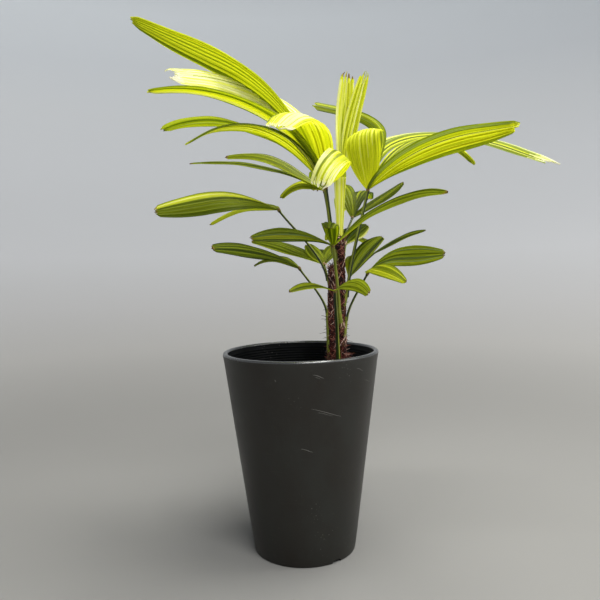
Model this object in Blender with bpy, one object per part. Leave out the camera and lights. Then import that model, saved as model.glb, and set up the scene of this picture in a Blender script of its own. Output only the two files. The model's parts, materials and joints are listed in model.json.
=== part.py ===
"""Lady palm with striped leaves in a tall tapered pot.

Metres, +Z up. The origin is the middle of the pot's underside, on the ground.
The plant's broad side faces -Y. Bearings are in degrees: 0 is +X, 90 is +Y,
180 is -X and 270 is -Y.
"""

import math
from collections import namedtuple

import bmesh
import bpy
import numpy as np
from mathutils import Vector

MM = 0.001
GAP = 0.3 * MM

# Pot
POT_HEIGHT = 154 * MM
POT_RIM_RADIUS = 60 * MM
POT_BASE_RADIUS = 39.6 * MM
POT_LIP_WIDTH = 3.8 * MM
POT_WALL = 2.8 * MM
POT_FLOOR = 3.2 * MM
POT_RECESS = 3 * MM
FOOT_RING_WIDTH = 5.2 * MM
FOOT_PAD_RADIUS = 13 * MM
INNER_RIDGE = 0.5 * MM
INNER_RIDGE_PITCH = 5 * MM
INNER_RIDGES = 4
INNER_RIDGE_SLOPE_SHARE = 0.25
DRAIN_HOLES = 6
DRAIN_HOLE_RADIUS = 3.2 * MM
DRAIN_NOTCHES = 3
DRAIN_NOTCH_WIDTH = 8 * MM
DRAIN_NOTCH_HEIGHT = 2.4 * MM
DRAIN_NOTCH_BEARING = 306
POT_PAD_ROUND = 0.6 * MM
POT_FOOT_ROUND = 1.2 * MM
POT_LIP_ROUND = 1.3 * MM
POT_FLOOR_ROUND = 2 * MM
POT_SIDES = 48

# Potting soil
SOIL_DEPTH_BELOW_RIM = 26 * MM
SOIL_EDGE_DROP = 2.5 * MM
SOIL_FLAT_RADIUS = 44 * MM
SOIL_TOP = POT_HEIGHT - SOIL_DEPTH_BELOW_RIM
SOIL_SIDES = 40
SOIL_BOTTOM_BEVEL = 3 * MM

# Canes: each stands on the soil and tapers to its top. The line from foot to top
# starts below the soil, at ground height, and only its part above the soil is built
Cane = namedtuple("Cane", "foot top foot_radius waist_radius top_radius")
CANE_TALL = Cane(
    foot=Vector((31.0, 5.4, 0)) * MM,
    top=Vector((32.3, 0.5, 241)) * MM,
    foot_radius=4.1 * MM,
    waist_radius=3.8 * MM,
    top_radius=2.8 * MM,
)
CANE_SHORT = Cane(
    foot=Vector((22.8, -3.0, 0)) * MM,
    top=Vector((25.4, -1.5, 219)) * MM,
    foot_radius=4.7 * MM,
    waist_radius=4.3 * MM,
    top_radius=1.7 * MM,
)
CANE_FLARE_HEIGHT = 16 * MM
CANE_SIDES = 14
CANE_RINGS = 12
CANE_RING_CROWDING = 1.4

# Leaflets
LEAF_THICKNESS_SHARE = 0.0105
LEAF_LEAST_THICKNESS = 0.7 * MM
LEAF_ROOT_WIDTH = 3.4 * MM
LEAF_STATIONS = 11
LEAF_STRIPS = 2
LEAF_ARCH = 0.22
LEAF_WIDEST_SHARE = 0.5
LEAF_OPENING_POWER = 0.9
LEAF_NARROWING_POWER = 2.4
LEAF_ROOT_TURN_SHARE = 0.35
LEAF_TIP_START = 0.965
LEAF_TIP_CORNER = 0.5
MIDRIB_STEPS = 60

# Hubs and petioles
HUB_RADIUS = 2.5 * MM
HUB_SWELL = 1.25
PETIOLE_SIDES = 8
PETIOLE_RINGS = 9
PETIOLE_CHISEL = 3 * MM
PETIOLE_CHISEL_SHARE = 0.55
PETIOLE_CLEARANCE_SHARE = 1.12
PETIOLE_FOOT_SWELL = 1.1
PETIOLE_UPRIGHT_SHARE = 0.3
PETIOLE_OUTWARD_SHARE = 0.06
PETIOLE_LEAN_SHARE = 0.25
PETIOLE_TAPER = 0.15

# The low front frond's petiole rises from the soil, in front of both canes
SOIL_PETIOLE_FOOT = Vector((28.5, -8.6, 0)) * MM
SOIL_PETIOLE_SWELL = 1.5
SOIL_PETIOLE_UPRIGHT_SHARE = 0.62

# bearing and rise: the way the leaflet leaves its hub, in degrees
# length and width: millimetres along and across the blade
# fall: how far the blade bends down between the shares `bend` of its length
# veer: how far its bearing swings over its length, in degrees
# roll: turn about its own midrib, in degrees
# tip: width of the blunt tip as a share of the width
Leaflet = namedtuple(
    "Leaflet",
    "bearing rise length width fall bend veer roll tip",
    defaults=(30, (0.0, 1.0), 0, 0, 0.42),
)

# cane: the cane that carries the frond, None for the one that rises from the soil
# height and side: where the petiole leaves the cane, mm above the ground and degrees
# hub: middle of the leaflets' fan, in millimetres
# thickness: petiole's diameter, in millimetres
Frond = namedtuple("Frond", "cane height side hub thickness leaflets")

FRONDS = {
    "frond_top_left": Frond(CANE_TALL, 228, 195, (21.4, -15, 276.8), 3.8, (
        Leaflet(168, 71, 212, 25, fall=43, bend=(0.05, 0.62), roll=-36, tip=0.36),
        Leaflet(134, 67, 174, 24, fall=75, bend=(0.19, 0.84), veer=94, roll=50, tip=0.65),
        Leaflet(240, 53, 154, 14, fall=61, veer=-63, roll=-9),
        Leaflet(256, 64, 115, 27, fall=96, bend=(0.1, 0.87), veer=-11, roll=16, tip=0.61),
        Leaflet(155, 53, 182, 17, fall=63, veer=-11, roll=-19),
        Leaflet(213, 51, 129, 16.5, fall=83, bend=(0.12, 0.9), veer=5, roll=-5, tip=0.34),
        Leaflet(282, 18, 96, 16, fall=94, bend=(0.44, 0.99), veer=-90, roll=39, tip=0.98),
    )),
    "frond_upper_left": Frond(CANE_TALL, 221, 130, (21.5, 10, 277.5), 2.6, (
        Leaflet(152, 34, 98, 14, fall=40, bend=(0.36, 1.0), veer=10, roll=31, tip=0.5),
        Leaflet(141, 29, 148, 9, fall=29, veer=11, roll=23, tip=0.26),
        Leaflet(132, 21, 50, 12.5, fall=74, bend=(0.38, 0.96), veer=35, roll=46, tip=0.5),
        Leaflet(92, 44, 112, 17, fall=74),
        Leaflet(76, 50, 92, 16, fall=75),
    )),
    "frond_middle_left": Frond(CANE_SHORT, 207, 165, (-14.3, 0, 262.3), 2.2, (
        Leaflet(211, 17, 95, 18, fall=27, bend=(0.05, 0.6), veer=-18, roll=75),
        Leaflet(137, 9, 72, 14, fall=37, bend=(0.3, 0.9), veer=30, roll=27),
        Leaflet(112, 20, 74, 14, fall=28),
    )),
    "frond_low_left": Frond(CANE_SHORT, 182, 195, (0.3, -8, 217.6), 2.1, (
        Leaflet(208, 28, 75, 14, fall=33, veer=12, roll=50),
        Leaflet(131, 20, 54, 12, fall=49, bend=(0.3, 1.0), veer=11, roll=23),
        Leaflet(160, 30, 46, 11, fall=30, roll=20),
    )),
    "frond_left_back": Frond(CANE_SHORT, 196, 100, (20, 12, 220.3), 2.3, (
        Leaflet(137, 21, 80, 18, fall=19, bend=(0.44, 1.0), veer=17, roll=20),
        Leaflet(120, 38, 30, 12, fall=10, roll=20),
        Leaflet(91, 25, 62, 13, fall=26),
        Leaflet(72, 30, 62, 13, fall=30, roll=-20),
    )),
    "frond_front": Frond(CANE_TALL, 182, 255, (25.3, -28, 233.1), 2.9, (
        Leaflet(211, 23, 66, 12, fall=37, veer=-8, roll=60, tip=0.25),
        Leaflet(262, 50, 40, 12, fall=95, bend=(0.3, 1.0), roll=8, tip=0.6),
        Leaflet(354, 41, 97, 15, fall=49, bend=(0.25, 0.9), veer=-44, roll=-34, tip=0.2),
    )),
    "frond_low_front": Frond(None, 0, 270, (26.2, -26, 200.1), 3.2, (
        Leaflet(220, 17, 42, 10, fall=44, bend=(0.3, 1.0), veer=-16, roll=25, tip=0.25),
        Leaflet(307, 33, 42, 10, fall=70, veer=-11, roll=-65, tip=0.5),
    )),
    "frond_low_right": Frond(CANE_TALL, 176, 335, (52.6, -6, 212.5), 2.2, (
        Leaflet(328, 46, 63, 16, fall=45, bend=(0.0, 0.5), veer=4, roll=-75, tip=0.3),
        Leaflet(275, 20, 47, 14, fall=61, bend=(0.1, 0.95), veer=66, roll=-39, tip=0.3),
        Leaflet(12, 38, 56, 12, fall=50, roll=-30),
    )),
    "frond_right_back": Frond(CANE_TALL, 186, 50, (41.2, 24, 209.7), 2.2, (
        Leaflet(52, 54, 60, 16, fall=39, veer=-5, roll=-18),
        Leaflet(50, 29, 118, 11, fall=21, bend=(0.15, 1.0), veer=-13, roll=38, tip=0.2),
        Leaflet(78, 36, 84, 16, fall=50),
    )),
    "frond_inner_back": Frond(CANE_TALL, 212, 62, (38.8, 30, 236), 2.2, (
        Leaflet(55, 31, 42, 13, fall=13, roll=-40),
        Leaflet(82, 34, 96, 17, fall=60),
        Leaflet(97, 30, 84, 15, fall=50),
        Leaflet(66, 20, 76, 14, fall=40, roll=-10),
    )),
    "frond_top_right": Frond(CANE_TALL, 194, 345, (53.6, -8, 275.1), 2.9, (
        Leaflet(72, 121, 65, 26, fall=114, bend=(0.51, 0.79), veer=-22, tip=0.45),
        Leaflet(315, 38, 117, 31, fall=32, bend=(0.0, 0.75), veer=33, roll=23, tip=0.36),
        Leaflet(80, 46, 246, 26, fall=73, bend=(0.07, 0.85), veer=-106, roll=-27, tip=0.42),
        Leaflet(39, 50, 161, 13, fall=79, bend=(0.1, 0.95), veer=3, roll=-11),
        Leaflet(32, 65, 136, 9.5, fall=57, bend=(0.06, 0.99), veer=163, roll=58, tip=1.0),
    )),
    "frond_upper_back": Frond(CANE_TALL, 224, 82, (45.3, 34, 258), 2.4, (
        Leaflet(48, 24, 76, 14, fall=-5, veer=-11, roll=-10, tip=0.32),
        Leaflet(74, 50, 96, 17, fall=70),
        Leaflet(92, 46, 104, 18, fall=76),
        Leaflet(100, 66, 58, 15, fall=60, roll=16),
    )),
}

# Spear: the newest leaf, still folded, on a stalk that leaves the tall cane's top
SPEAR_STALK_TOP = Vector((33.4, 1.5, 286)) * MM
SPEAR_STALK_BASE_WIDTH = 4.6 * MM
SPEAR_STALK_TOP_WIDTH = 9.2 * MM
SPEAR_STALK_DEPTH = 4.4 * MM
SPEAR_STALK_RINGS = 7
SPEAR_STALK_SIDES = 10
SPEAR_BLADES_SUNK = 6 * MM
SPEAR_BLADES = (
    Leaflet(2, 87, 86, 13.5, fall=4, roll=82, tip=0.75),
    Leaflet(355, 81, 88, 11.5, fall=10, roll=98, tip=0.55),
    Leaflet(30, 87, 76, 8, fall=8, roll=60, tip=0.5),
)

# Finishes: colour, roughness, metallic
POT_FINISH = ((0.016, 0.015, 0.014), 0.52, 0.0)
SOIL_FINISH = ((0.030, 0.020, 0.013), 0.95, 0.0)
CANE_FINISH = ((0.070, 0.028, 0.018), 0.85, 0.0)
OLD_LEAF_FINISH = ((0.130, 0.240, 0.020), 0.45, 0.0)
NEW_LEAF_FINISH = ((0.480, 0.560, 0.030), 0.45, 0.0)
SPEAR_FINISH = ((0.620, 0.640, 0.120), 0.45, 0.0)
NEW_FRONDS = ("frond_top_left", "frond_top_right")


def clear_scene():
    """Remove every object of the start-up scene."""
    for obj in list(bpy.data.objects):
        bpy.data.objects.remove(obj, do_unlink=True)


def give_material(obj, name, finish):
    """Give an object its only material, from a colour, a roughness and a metallic value."""
    colour, roughness, metallic = finish
    material = bpy.data.materials.new(name)
    material.use_nodes = True
    shader = material.node_tree.nodes["Principled BSDF"]
    shader.inputs["Base Color"].default_value = (*colour, 1.0)
    shader.inputs["Roughness"].default_value = roughness
    shader.inputs["Metallic"].default_value = metallic
    obj.data.materials.clear()
    obj.data.materials.append(material)


def mesh_object(name, vertices, faces, smooth_angle=40):
    """New object from vertices and faces, with its faces turned outwards."""
    mesh = bpy.data.meshes.new(name)
    mesh.from_pydata([tuple(v) for v in vertices], [], faces)
    build = bmesh.new()
    build.from_mesh(mesh)
    bmesh.ops.recalc_face_normals(build, faces=build.faces)
    build.to_mesh(mesh)
    build.free()
    mesh.shade_smooth()
    mesh.set_sharp_from_angle(angle=math.radians(smooth_angle))
    obj = bpy.data.objects.new(name, mesh)
    bpy.context.scene.collection.objects.link(obj)
    return obj


def apply_modifiers(obj):
    """Replace an object's mesh with the one its modifiers make."""
    depsgraph = bpy.context.evaluated_depsgraph_get()
    mesh = bpy.data.meshes.new_from_object(obj.evaluated_get(depsgraph))
    obj.modifiers.clear()
    obj.data = mesh


def combine(obj, others, operation):
    """One exact Boolean of an object with a collection of others, which are then removed."""
    tools = bpy.data.collections.new(obj.name + "_tools")
    bpy.context.scene.collection.children.link(tools)
    for other in others:
        bpy.context.scene.collection.objects.unlink(other)
        tools.objects.link(other)
    modifier = obj.modifiers.new("combine", "BOOLEAN")
    modifier.operand_type = "COLLECTION"
    modifier.collection = tools
    modifier.operation = operation
    modifier.solver = "EXACT"
    modifier.use_self = False
    apply_modifiers(obj)
    for other in list(tools.objects):
        bpy.data.objects.remove(other, do_unlink=True)
    bpy.data.collections.remove(tools)


def loft(name, rings):
    """Closed skin over rings of equally many points, with a face at each end.

    The two halves of a ring split their faces along the same diagonal, so that the
    upper and lower side of a thin twisted blade stay parallel.
    """
    count = len(rings[0])
    vertices = [point for ring in rings for point in ring]
    faces = []
    for ring in range(len(rings) - 1):
        for k in range(count):
            low = ring * count
            high = low + count
            after = (k + 1) % count
            a, b, c, d = low + k, low + after, high + after, high + k
            if k < count // 2:
                faces += [(a, b, c), (a, c, d)]
            else:
                faces += [(a, b, d), (b, c, d)]
    faces.append(tuple(range(count)))
    faces.append(tuple(range((len(rings) - 1) * count, len(rings) * count)))
    return mesh_object(name, vertices, faces)


def turned(name, profile, sides):
    """Solid of revolution about Z from (radius, height) points, ends on the axis."""
    vertices = []
    rows = []
    for radius, height in profile:
        if radius == 0:
            rows.append([len(vertices)] * sides)
            vertices.append((0, 0, height))
            continue
        rows.append([len(vertices) + k for k in range(sides)])
        for k in range(sides):
            turn = 2 * math.pi * k / sides
            vertices.append((radius * math.cos(turn), radius * math.sin(turn), height))
    faces = []
    for low, high in zip(rows, rows[1:]):
        for k in range(sides):
            after = (k + 1) % sides
            corners = (low[k], low[after], high[after], high[k])
            faces.append(tuple(dict.fromkeys(corners)))
    return mesh_object(name, vertices, faces)


def wall_radius(height):
    """Outer radius of the pot at a height."""
    return POT_BASE_RADIUS + (POT_RIM_RADIUS - POT_BASE_RADIUS) * height / POT_HEIGHT


def inner_radius(height):
    """Inner radius of the pot at a height: the wall thickens evenly towards the lip."""
    thickness = POT_WALL + (POT_LIP_WIDTH - POT_WALL) * height / POT_HEIGHT
    return wall_radius(height) - thickness


def arc(middle, radius, first, last, step=30):
    """Points of an arc in the half section, by its angles in degrees."""
    points = []
    for angle in range(first, last + 1, step):
        turn = math.radians(angle)
        points.append((middle[0] + radius * math.cos(turn), middle[1] + radius * math.sin(turn)))
    return points


def pot_profile():
    """Half section of the pot, from the middle of its underside round to its inner floor."""
    ring_inside = POT_BASE_RADIUS - FOOT_RING_WIDTH
    foot_edge = POT_FOOT_ROUND / 3
    lip_middle = POT_HEIGHT - POT_LIP_ROUND
    floor_top = POT_RECESS + POT_FLOOR
    profile = [
        (0, 0),
        (FOOT_PAD_RADIUS - POT_PAD_ROUND, 0),
        (FOOT_PAD_RADIUS, POT_PAD_ROUND),
        (FOOT_PAD_RADIUS, POT_RECESS),
        (ring_inside, POT_RECESS),
        (ring_inside, POT_PAD_ROUND),
        (ring_inside + POT_PAD_ROUND, 0),
        (POT_BASE_RADIUS - POT_FOOT_ROUND, 0),
        (wall_radius(foot_edge) - foot_edge, foot_edge),
        (wall_radius(POT_FOOT_ROUND), POT_FOOT_ROUND),
    ]
    profile += arc((POT_RIM_RADIUS - POT_LIP_ROUND, lip_middle), POT_LIP_ROUND, 0, 90)
    profile += arc((inner_radius(POT_HEIGHT) + POT_LIP_ROUND, lip_middle), POT_LIP_ROUND, 90, 180)
    for ridge in range(INNER_RIDGES):
        height = POT_HEIGHT - (ridge + 1) * INNER_RIDGE_PITCH
        slope_top = height + INNER_RIDGE_SLOPE_SHARE * INNER_RIDGE_PITCH
        profile.append((inner_radius(height), slope_top))
        profile.append((inner_radius(height) - INNER_RIDGE, height))
    rounded = floor_top + POT_FLOOR_ROUND
    profile.append((inner_radius(rounded), rounded))
    profile.append((inner_radius(floor_top) - POT_FLOOR_ROUND, floor_top))
    profile.append((0, floor_top))
    return profile


def cylinder(name, centre, radius, low, high, sides=20):
    """Upright round cutter."""
    rings = []
    for height in (low, high):
        ring = []
        for k in range(sides):
            turn = 2 * math.pi * k / sides
            ring.append((centre[0] + radius * math.cos(turn), centre[1] + radius * math.sin(turn), height))
        rings.append(ring)
    return loft(name, rings)


def radial_block(name, bearing, near, far, width, low, high):
    """Box cutter that lies along a bearing from the axis."""
    along = Vector((math.cos(math.radians(bearing)), math.sin(math.radians(bearing)), 0))
    across = Vector((-along.y, along.x, 0))
    rings = []
    for reach in (near, far):
        ring = []
        for side, height in ((-0.5, low), (0.5, low), (0.5, high), (-0.5, high)):
            ring.append(along * reach + across * side * width + Vector((0, 0, height)))
        rings.append(ring)
    return loft(name, rings)


def make_pot():
    """Tapered pot with a rounded lip, ridged inner wall, foot ring and drain holes."""
    pot = turned("pot", pot_profile(), POT_SIDES)
    cutters = []
    hole_circle = (FOOT_PAD_RADIUS + POT_BASE_RADIUS - FOOT_RING_WIDTH) / 2
    for k in range(DRAIN_HOLES):
        turn = 2 * math.pi * (k + 0.5) / DRAIN_HOLES
        centre = (hole_circle * math.cos(turn), hole_circle * math.sin(turn))
        cutters.append(
            cylinder("hole", centre, DRAIN_HOLE_RADIUS, -MM, POT_RECESS + POT_FLOOR + MM)
        )
    for k in range(DRAIN_NOTCHES):
        cutters.append(
            radial_block(
                "notch",
                DRAIN_NOTCH_BEARING + 360 / DRAIN_NOTCHES * k,
                POT_BASE_RADIUS - FOOT_RING_WIDTH - MM,
                POT_BASE_RADIUS + 2 * MM,
                DRAIN_NOTCH_WIDTH,
                -MM,
                DRAIN_NOTCH_HEIGHT,
            )
        )
    combine(pot, cutters, "DIFFERENCE")
    pot.data.shade_smooth()
    pot.data.set_sharp_from_angle(angle=math.radians(40))
    return pot


def make_soil():
    """Plug of soil that fills the pot to its level, a little lower along the wall."""
    bottom = POT_RECESS + POT_FLOOR + GAP
    edge = SOIL_TOP - SOIL_EDGE_DROP
    flats = POT_RIM_RADIUS * (1 - math.cos(math.pi / POT_SIDES))
    clear = GAP + INNER_RIDGE + flats
    bevel_top = bottom + SOIL_BOTTOM_BEVEL
    profile = [
        (0, bottom),
        (inner_radius(bottom) - SOIL_BOTTOM_BEVEL, bottom),
        (inner_radius(bevel_top) - clear, bevel_top),
        (inner_radius(edge) - clear, edge),
        (SOIL_FLAT_RADIUS, SOIL_TOP),
        (0, SOIL_TOP),
    ]
    return turned("soil", profile, SOIL_SIDES)


def cane_point(cane, height):
    """Middle of a cane at a height."""
    share = height / cane.top.z
    return cane.foot.lerp(cane.top, share)


def cane_radius(cane, height):
    """Radius of a cane at a height: a flared foot, then an even taper."""
    above = height - SOIL_TOP
    share = min(1.0, above / (cane.top.z - SOIL_TOP))
    straight = cane.waist_radius + (cane.top_radius - cane.waist_radius) * share
    flare = (cane.foot_radius - cane.waist_radius) * max(0.0, 1 - above / CANE_FLARE_HEIGHT) ** 2
    return straight + flare


def make_cane(name, cane):
    """Tapered stem from its flat cut on the soil to its top."""
    low = SOIL_TOP + GAP
    rings = []
    for i in range(CANE_RINGS + 1):
        share = (i / CANE_RINGS) ** CANE_RING_CROWDING
        height = low + (cane.top.z - low) * share
        middle = cane_point(cane, height)
        radius = cane_radius(cane, height)
        ring = []
        for k in range(CANE_SIDES):
            turn = 2 * math.pi * k / CANE_SIDES
            ring.append(middle + Vector((math.cos(turn), math.sin(turn), 0)) * radius)
        rings.append(ring)
    return loft(name, rings)


def leaflet_frames(leaf, hub, stations):
    """Midrib points, side vectors and upper-face vectors of a leaflet, base to tip."""
    fine = MIDRIB_STEPS
    middle = (np.arange(fine) + 0.5) / fine
    bent = np.clip((middle - leaf.bend[0]) / (leaf.bend[1] - leaf.bend[0]), 0, 1)
    rise = np.radians(leaf.rise - leaf.fall * bent)
    bearing = np.radians(leaf.bearing + leaf.veer * bent)
    along = np.stack([np.cos(rise) * np.cos(bearing), np.cos(rise) * np.sin(bearing), np.sin(rise)], -1)
    path = np.vstack([np.zeros(3), np.cumsum(along, 0)]) * (leaf.length * MM / fine)
    across = np.stack([-np.sin(bearing), np.cos(bearing), np.zeros(fine)], -1)
    frames = []
    for share in stations:
        place = share * fine
        low = min(fine - 1, int(place))
        point = path[low] + (path[low + 1] - path[low]) * (place - low)
        tangent = Vector(along[low])
        side = Vector(across[low])
        upper = tangent.cross(side)
        turn = math.radians(leaf.roll * min(1.0, LEAF_ROOT_TURN_SHARE + share))
        rolled_side = side * math.cos(turn) - upper * math.sin(turn)
        rolled_upper = upper * math.cos(turn) + side * math.sin(turn)
        frames.append((Vector(point) + Vector(hub), rolled_side, rolled_upper))
    return frames


def leaflet_width(leaf, share):
    """Width of a leaflet at a share of its length: narrow root, full middle, blunt tip."""
    width = leaf.width * MM
    if share < LEAF_WIDEST_SHARE:
        opening = math.sin(math.pi / 2 * share / LEAF_WIDEST_SHARE) ** LEAF_OPENING_POWER
        return LEAF_ROOT_WIDTH + (width - LEAF_ROOT_WIDTH) * opening
    past_widest = (share - LEAF_WIDEST_SHARE) / (1 - LEAF_WIDEST_SHARE)
    narrowing = (1 - leaf.tip) * past_widest ** LEAF_NARROWING_POWER
    corner = LEAF_TIP_CORNER * max(0.0, share - LEAF_TIP_START) / (1 - LEAF_TIP_START)
    return width * (1 - narrowing) * (1 - corner)


def make_leaflet(leaf, hub):
    """Thin closed blade along a bent midrib, a little arched across."""
    shares = np.append(np.linspace(0, LEAF_TIP_START, LEAF_STATIONS - 1), 1.0)
    thickness = max(LEAF_LEAST_THICKNESS, LEAF_THICKNESS_SHARE * leaf.length * MM)
    rings = []
    for share, (point, side, upper) in zip(shares, leaflet_frames(leaf, hub, shares)):
        half = leaflet_width(leaf, share) / 2
        arch = LEAF_ARCH * min(1.0, 2 * share)
        places = np.linspace(-1, 1, LEAF_STRIPS + 1)
        top = []
        bottom = []
        for place in places:
            drop = arch * half * place * place
            middle = point + side * (half * place) - upper * drop
            top.append(middle + upper * thickness / 2)
            bottom.append(middle - upper * thickness / 2)
        rings.append(top + bottom[::-1])
    return loft("leaflet", rings)


def bezier(a, b, c, d, share):
    """Point of a cubic curve."""
    rest = 1 - share
    return a * rest ** 3 + b * 3 * rest ** 2 * share + c * 3 * rest * share ** 2 + d * share ** 3


def tube(name, points, radii, sides, flat=1.0, flat_axis=Vector((0, 1, 0))):
    """Tapering tube along points. Its section is squeezed by `flat` along one axis."""
    rings = []
    for i, point in enumerate(points):
        ahead = points[min(i + 1, len(points) - 1)] - points[max(i - 1, 0)]
        ahead.normalize()
        across = ahead.cross(flat_axis).normalized()
        depth = across.cross(ahead).normalized()
        ring = []
        for k in range(sides):
            turn = 2 * math.pi * k / sides
            ring.append(
                point + across * radii[i] * math.cos(turn) + depth * radii[i] * flat * math.sin(turn)
            )
        rings.append(ring)
    return loft(name, rings)


def petiole_start(frond, side, radius):
    """Where a petiole's middle line starts, beside its cane or just above the soil."""
    if frond.cane is None:
        return SOIL_PETIOLE_FOOT + Vector((0, 0, SOIL_TOP + 2 * GAP))
    height = frond.height * MM
    clear = cane_radius(frond.cane, height) + GAP + radius * PETIOLE_CLEARANCE_SHARE
    return cane_point(frond.cane, height) + side * clear


def petiole_path(frond):
    """Points and radii of a petiole from its foot on the cane or the soil to its hub."""
    hub = Vector(frond.hub) * MM
    radius = frond.thickness * MM / 2
    side = Vector((math.cos(math.radians(frond.side)), math.sin(math.radians(frond.side)), 0))
    start = petiole_start(frond, side, radius)
    on_cane = frond.cane is not None
    swell = PETIOLE_FOOT_SWELL if on_cane else SOIL_PETIOLE_SWELL
    upright = PETIOLE_UPRIGHT_SHARE if on_cane else SOIL_PETIOLE_UPRIGHT_SHARE
    reach = (hub - start).length
    lean = (hub - start).normalized()
    rising = Vector((0, 0, 1)).lerp(side, PETIOLE_OUTWARD_SHARE).normalized()
    after_start = start + rising * reach * upright
    before_hub = hub - lean * reach * PETIOLE_LEAN_SHARE
    points = []
    radii = []
    if on_cane:
        points.append(start - side * radius * PETIOLE_CHISEL_SHARE - Vector((0, 0, PETIOLE_CHISEL)))
        radii.append(radius * PETIOLE_CHISEL_SHARE)
    for i in range(PETIOLE_RINGS):
        share = i / (PETIOLE_RINGS - 1)
        points.append(bezier(start, after_start, before_hub, hub, share))
        foot = 1 + (swell - 1) * max(0.0, 1 - 3 * share)
        radii.append(radius * foot * (1 - PETIOLE_TAPER * share))
    return points, radii


def make_hub(hub, radius):
    """Small ball where the petiole ends and the leaflets begin."""
    build = bmesh.new()
    bmesh.ops.create_icosphere(build, subdivisions=2, radius=radius)
    bmesh.ops.translate(build, verts=build.verts, vec=hub)
    mesh = bpy.data.meshes.new("hub")
    build.to_mesh(mesh)
    build.free()
    ball = bpy.data.objects.new("hub", mesh)
    bpy.context.scene.collection.objects.link(ball)
    return ball


def make_frond(name, frond):
    """Petiole, hub and leaflets of one palmate leaf, joined to one solid."""
    hub = Vector(frond.hub) * MM
    points, radii = petiole_path(frond)
    stem = tube(name, points, radii, PETIOLE_SIDES)
    pieces = [make_hub(hub, max(HUB_RADIUS, radii[-1] * HUB_SWELL))]
    pieces += [make_leaflet(leaf, hub) for leaf in frond.leaflets]
    combine(stem, pieces, "UNION")
    return stem


def make_spear():
    """Newest leaf, upright and folded, on its flattened stalk."""
    low = CANE_TALL.top + Vector((0, 0, GAP))
    points = []
    radii = []
    for i in range(SPEAR_STALK_RINGS):
        share = i / (SPEAR_STALK_RINGS - 1)
        points.append(low.lerp(SPEAR_STALK_TOP, share))
        width = SPEAR_STALK_BASE_WIDTH + (SPEAR_STALK_TOP_WIDTH - SPEAR_STALK_BASE_WIDTH) * share
        radii.append(width / 2)
    squeeze = SPEAR_STALK_DEPTH / SPEAR_STALK_TOP_WIDTH
    stalk = tube("spear_leaf", points, radii, SPEAR_STALK_SIDES, flat=squeeze)
    sunk = SPEAR_STALK_TOP - Vector((0, 0, SPEAR_BLADES_SUNK))
    combine(stalk, [make_leaflet(leaf, sunk) for leaf in SPEAR_BLADES], "UNION")
    return stalk


def build_plant():
    """Every node of the part, each with its own material."""
    clear_scene()
    give_material(make_pot(), "pot_plastic", POT_FINISH)
    give_material(make_soil(), "potting_soil", SOIL_FINISH)
    for name, cane in (("cane_tall", CANE_TALL), ("cane_short", CANE_SHORT)):
        give_material(make_cane(name, cane), name + "_fibre", CANE_FINISH)
    for name, frond in FRONDS.items():
        finish = NEW_LEAF_FINISH if name in NEW_FRONDS else OLD_LEAF_FINISH
        give_material(make_frond(name, frond), name + "_leaf", finish)
    give_material(make_spear(), "spear_leaf_blade", SPEAR_FINISH)


build_plant()
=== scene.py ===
"""Looks of the potted lady palm: striped leaves, fibre-covered canes, soil and a plastic pot."""

import json
import math
from collections import namedtuple

import bpy
import numpy as np
from mathutils import Matrix, Vector, noise

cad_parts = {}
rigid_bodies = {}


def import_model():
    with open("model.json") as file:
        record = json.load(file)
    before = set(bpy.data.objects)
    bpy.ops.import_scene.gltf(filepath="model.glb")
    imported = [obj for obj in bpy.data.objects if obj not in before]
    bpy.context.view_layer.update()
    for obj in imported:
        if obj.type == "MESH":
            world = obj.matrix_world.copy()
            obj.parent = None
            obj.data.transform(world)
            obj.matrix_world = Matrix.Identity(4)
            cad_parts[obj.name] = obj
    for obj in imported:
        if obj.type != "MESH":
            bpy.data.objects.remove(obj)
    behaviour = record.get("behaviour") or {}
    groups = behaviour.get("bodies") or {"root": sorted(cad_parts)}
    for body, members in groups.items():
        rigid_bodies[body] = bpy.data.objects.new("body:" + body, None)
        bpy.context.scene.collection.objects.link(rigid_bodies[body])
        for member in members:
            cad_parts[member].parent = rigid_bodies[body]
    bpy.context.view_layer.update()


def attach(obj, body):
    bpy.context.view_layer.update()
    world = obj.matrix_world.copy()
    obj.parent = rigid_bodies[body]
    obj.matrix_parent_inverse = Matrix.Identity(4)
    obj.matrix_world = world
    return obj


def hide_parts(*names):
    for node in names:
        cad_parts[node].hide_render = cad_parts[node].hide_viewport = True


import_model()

MM = 0.001
SEED = 41

# Camera: place in metres, angle below the horizon and sideways lean in degrees
CAMERA_PLACE = Vector((0.0005, -0.463, 0.2178))
CAMERA_DIP = 3.1
CAMERA_LEAN = -1.36
CAMERA_LENS = 36

# Pot, as in the solid it replaces
POT_HEIGHT = 154 * MM
POT_RIM_RADIUS = 60 * MM
POT_BASE_RADIUS = 39.6 * MM
POT_LIP_WIDTH = 3.8 * MM
POT_WALL = 2.8 * MM
POT_FLOOR = 3.2 * MM
POT_RECESS = 3 * MM
FOOT_RING_WIDTH = 5.2 * MM
FOOT_PAD_RADIUS = 13 * MM
DRAIN_HOLES = 6
DRAIN_HOLE_RADIUS = 3.2 * MM
DRAIN_NOTCHES = 3
DRAIN_NOTCH_WIDTH = 8 * MM
DRAIN_NOTCH_HEIGHT = 2.4 * MM
DRAIN_NOTCH_BEARING = 306
POT_FOOT_ROUND = 1.2 * MM
POT_LIP_ROUND = 1.5 * MM
INNER_RIDGE = 0.18 * MM
INNER_RIDGE_PITCH = 2.1 * MM
INNER_RIDGES = 10
POT_SIDES = 200
POT_WALL_STEPS = 24
POT_SHARP_ANGLE = 35
DRAIN_HOLE_SIDES = 32

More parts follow.
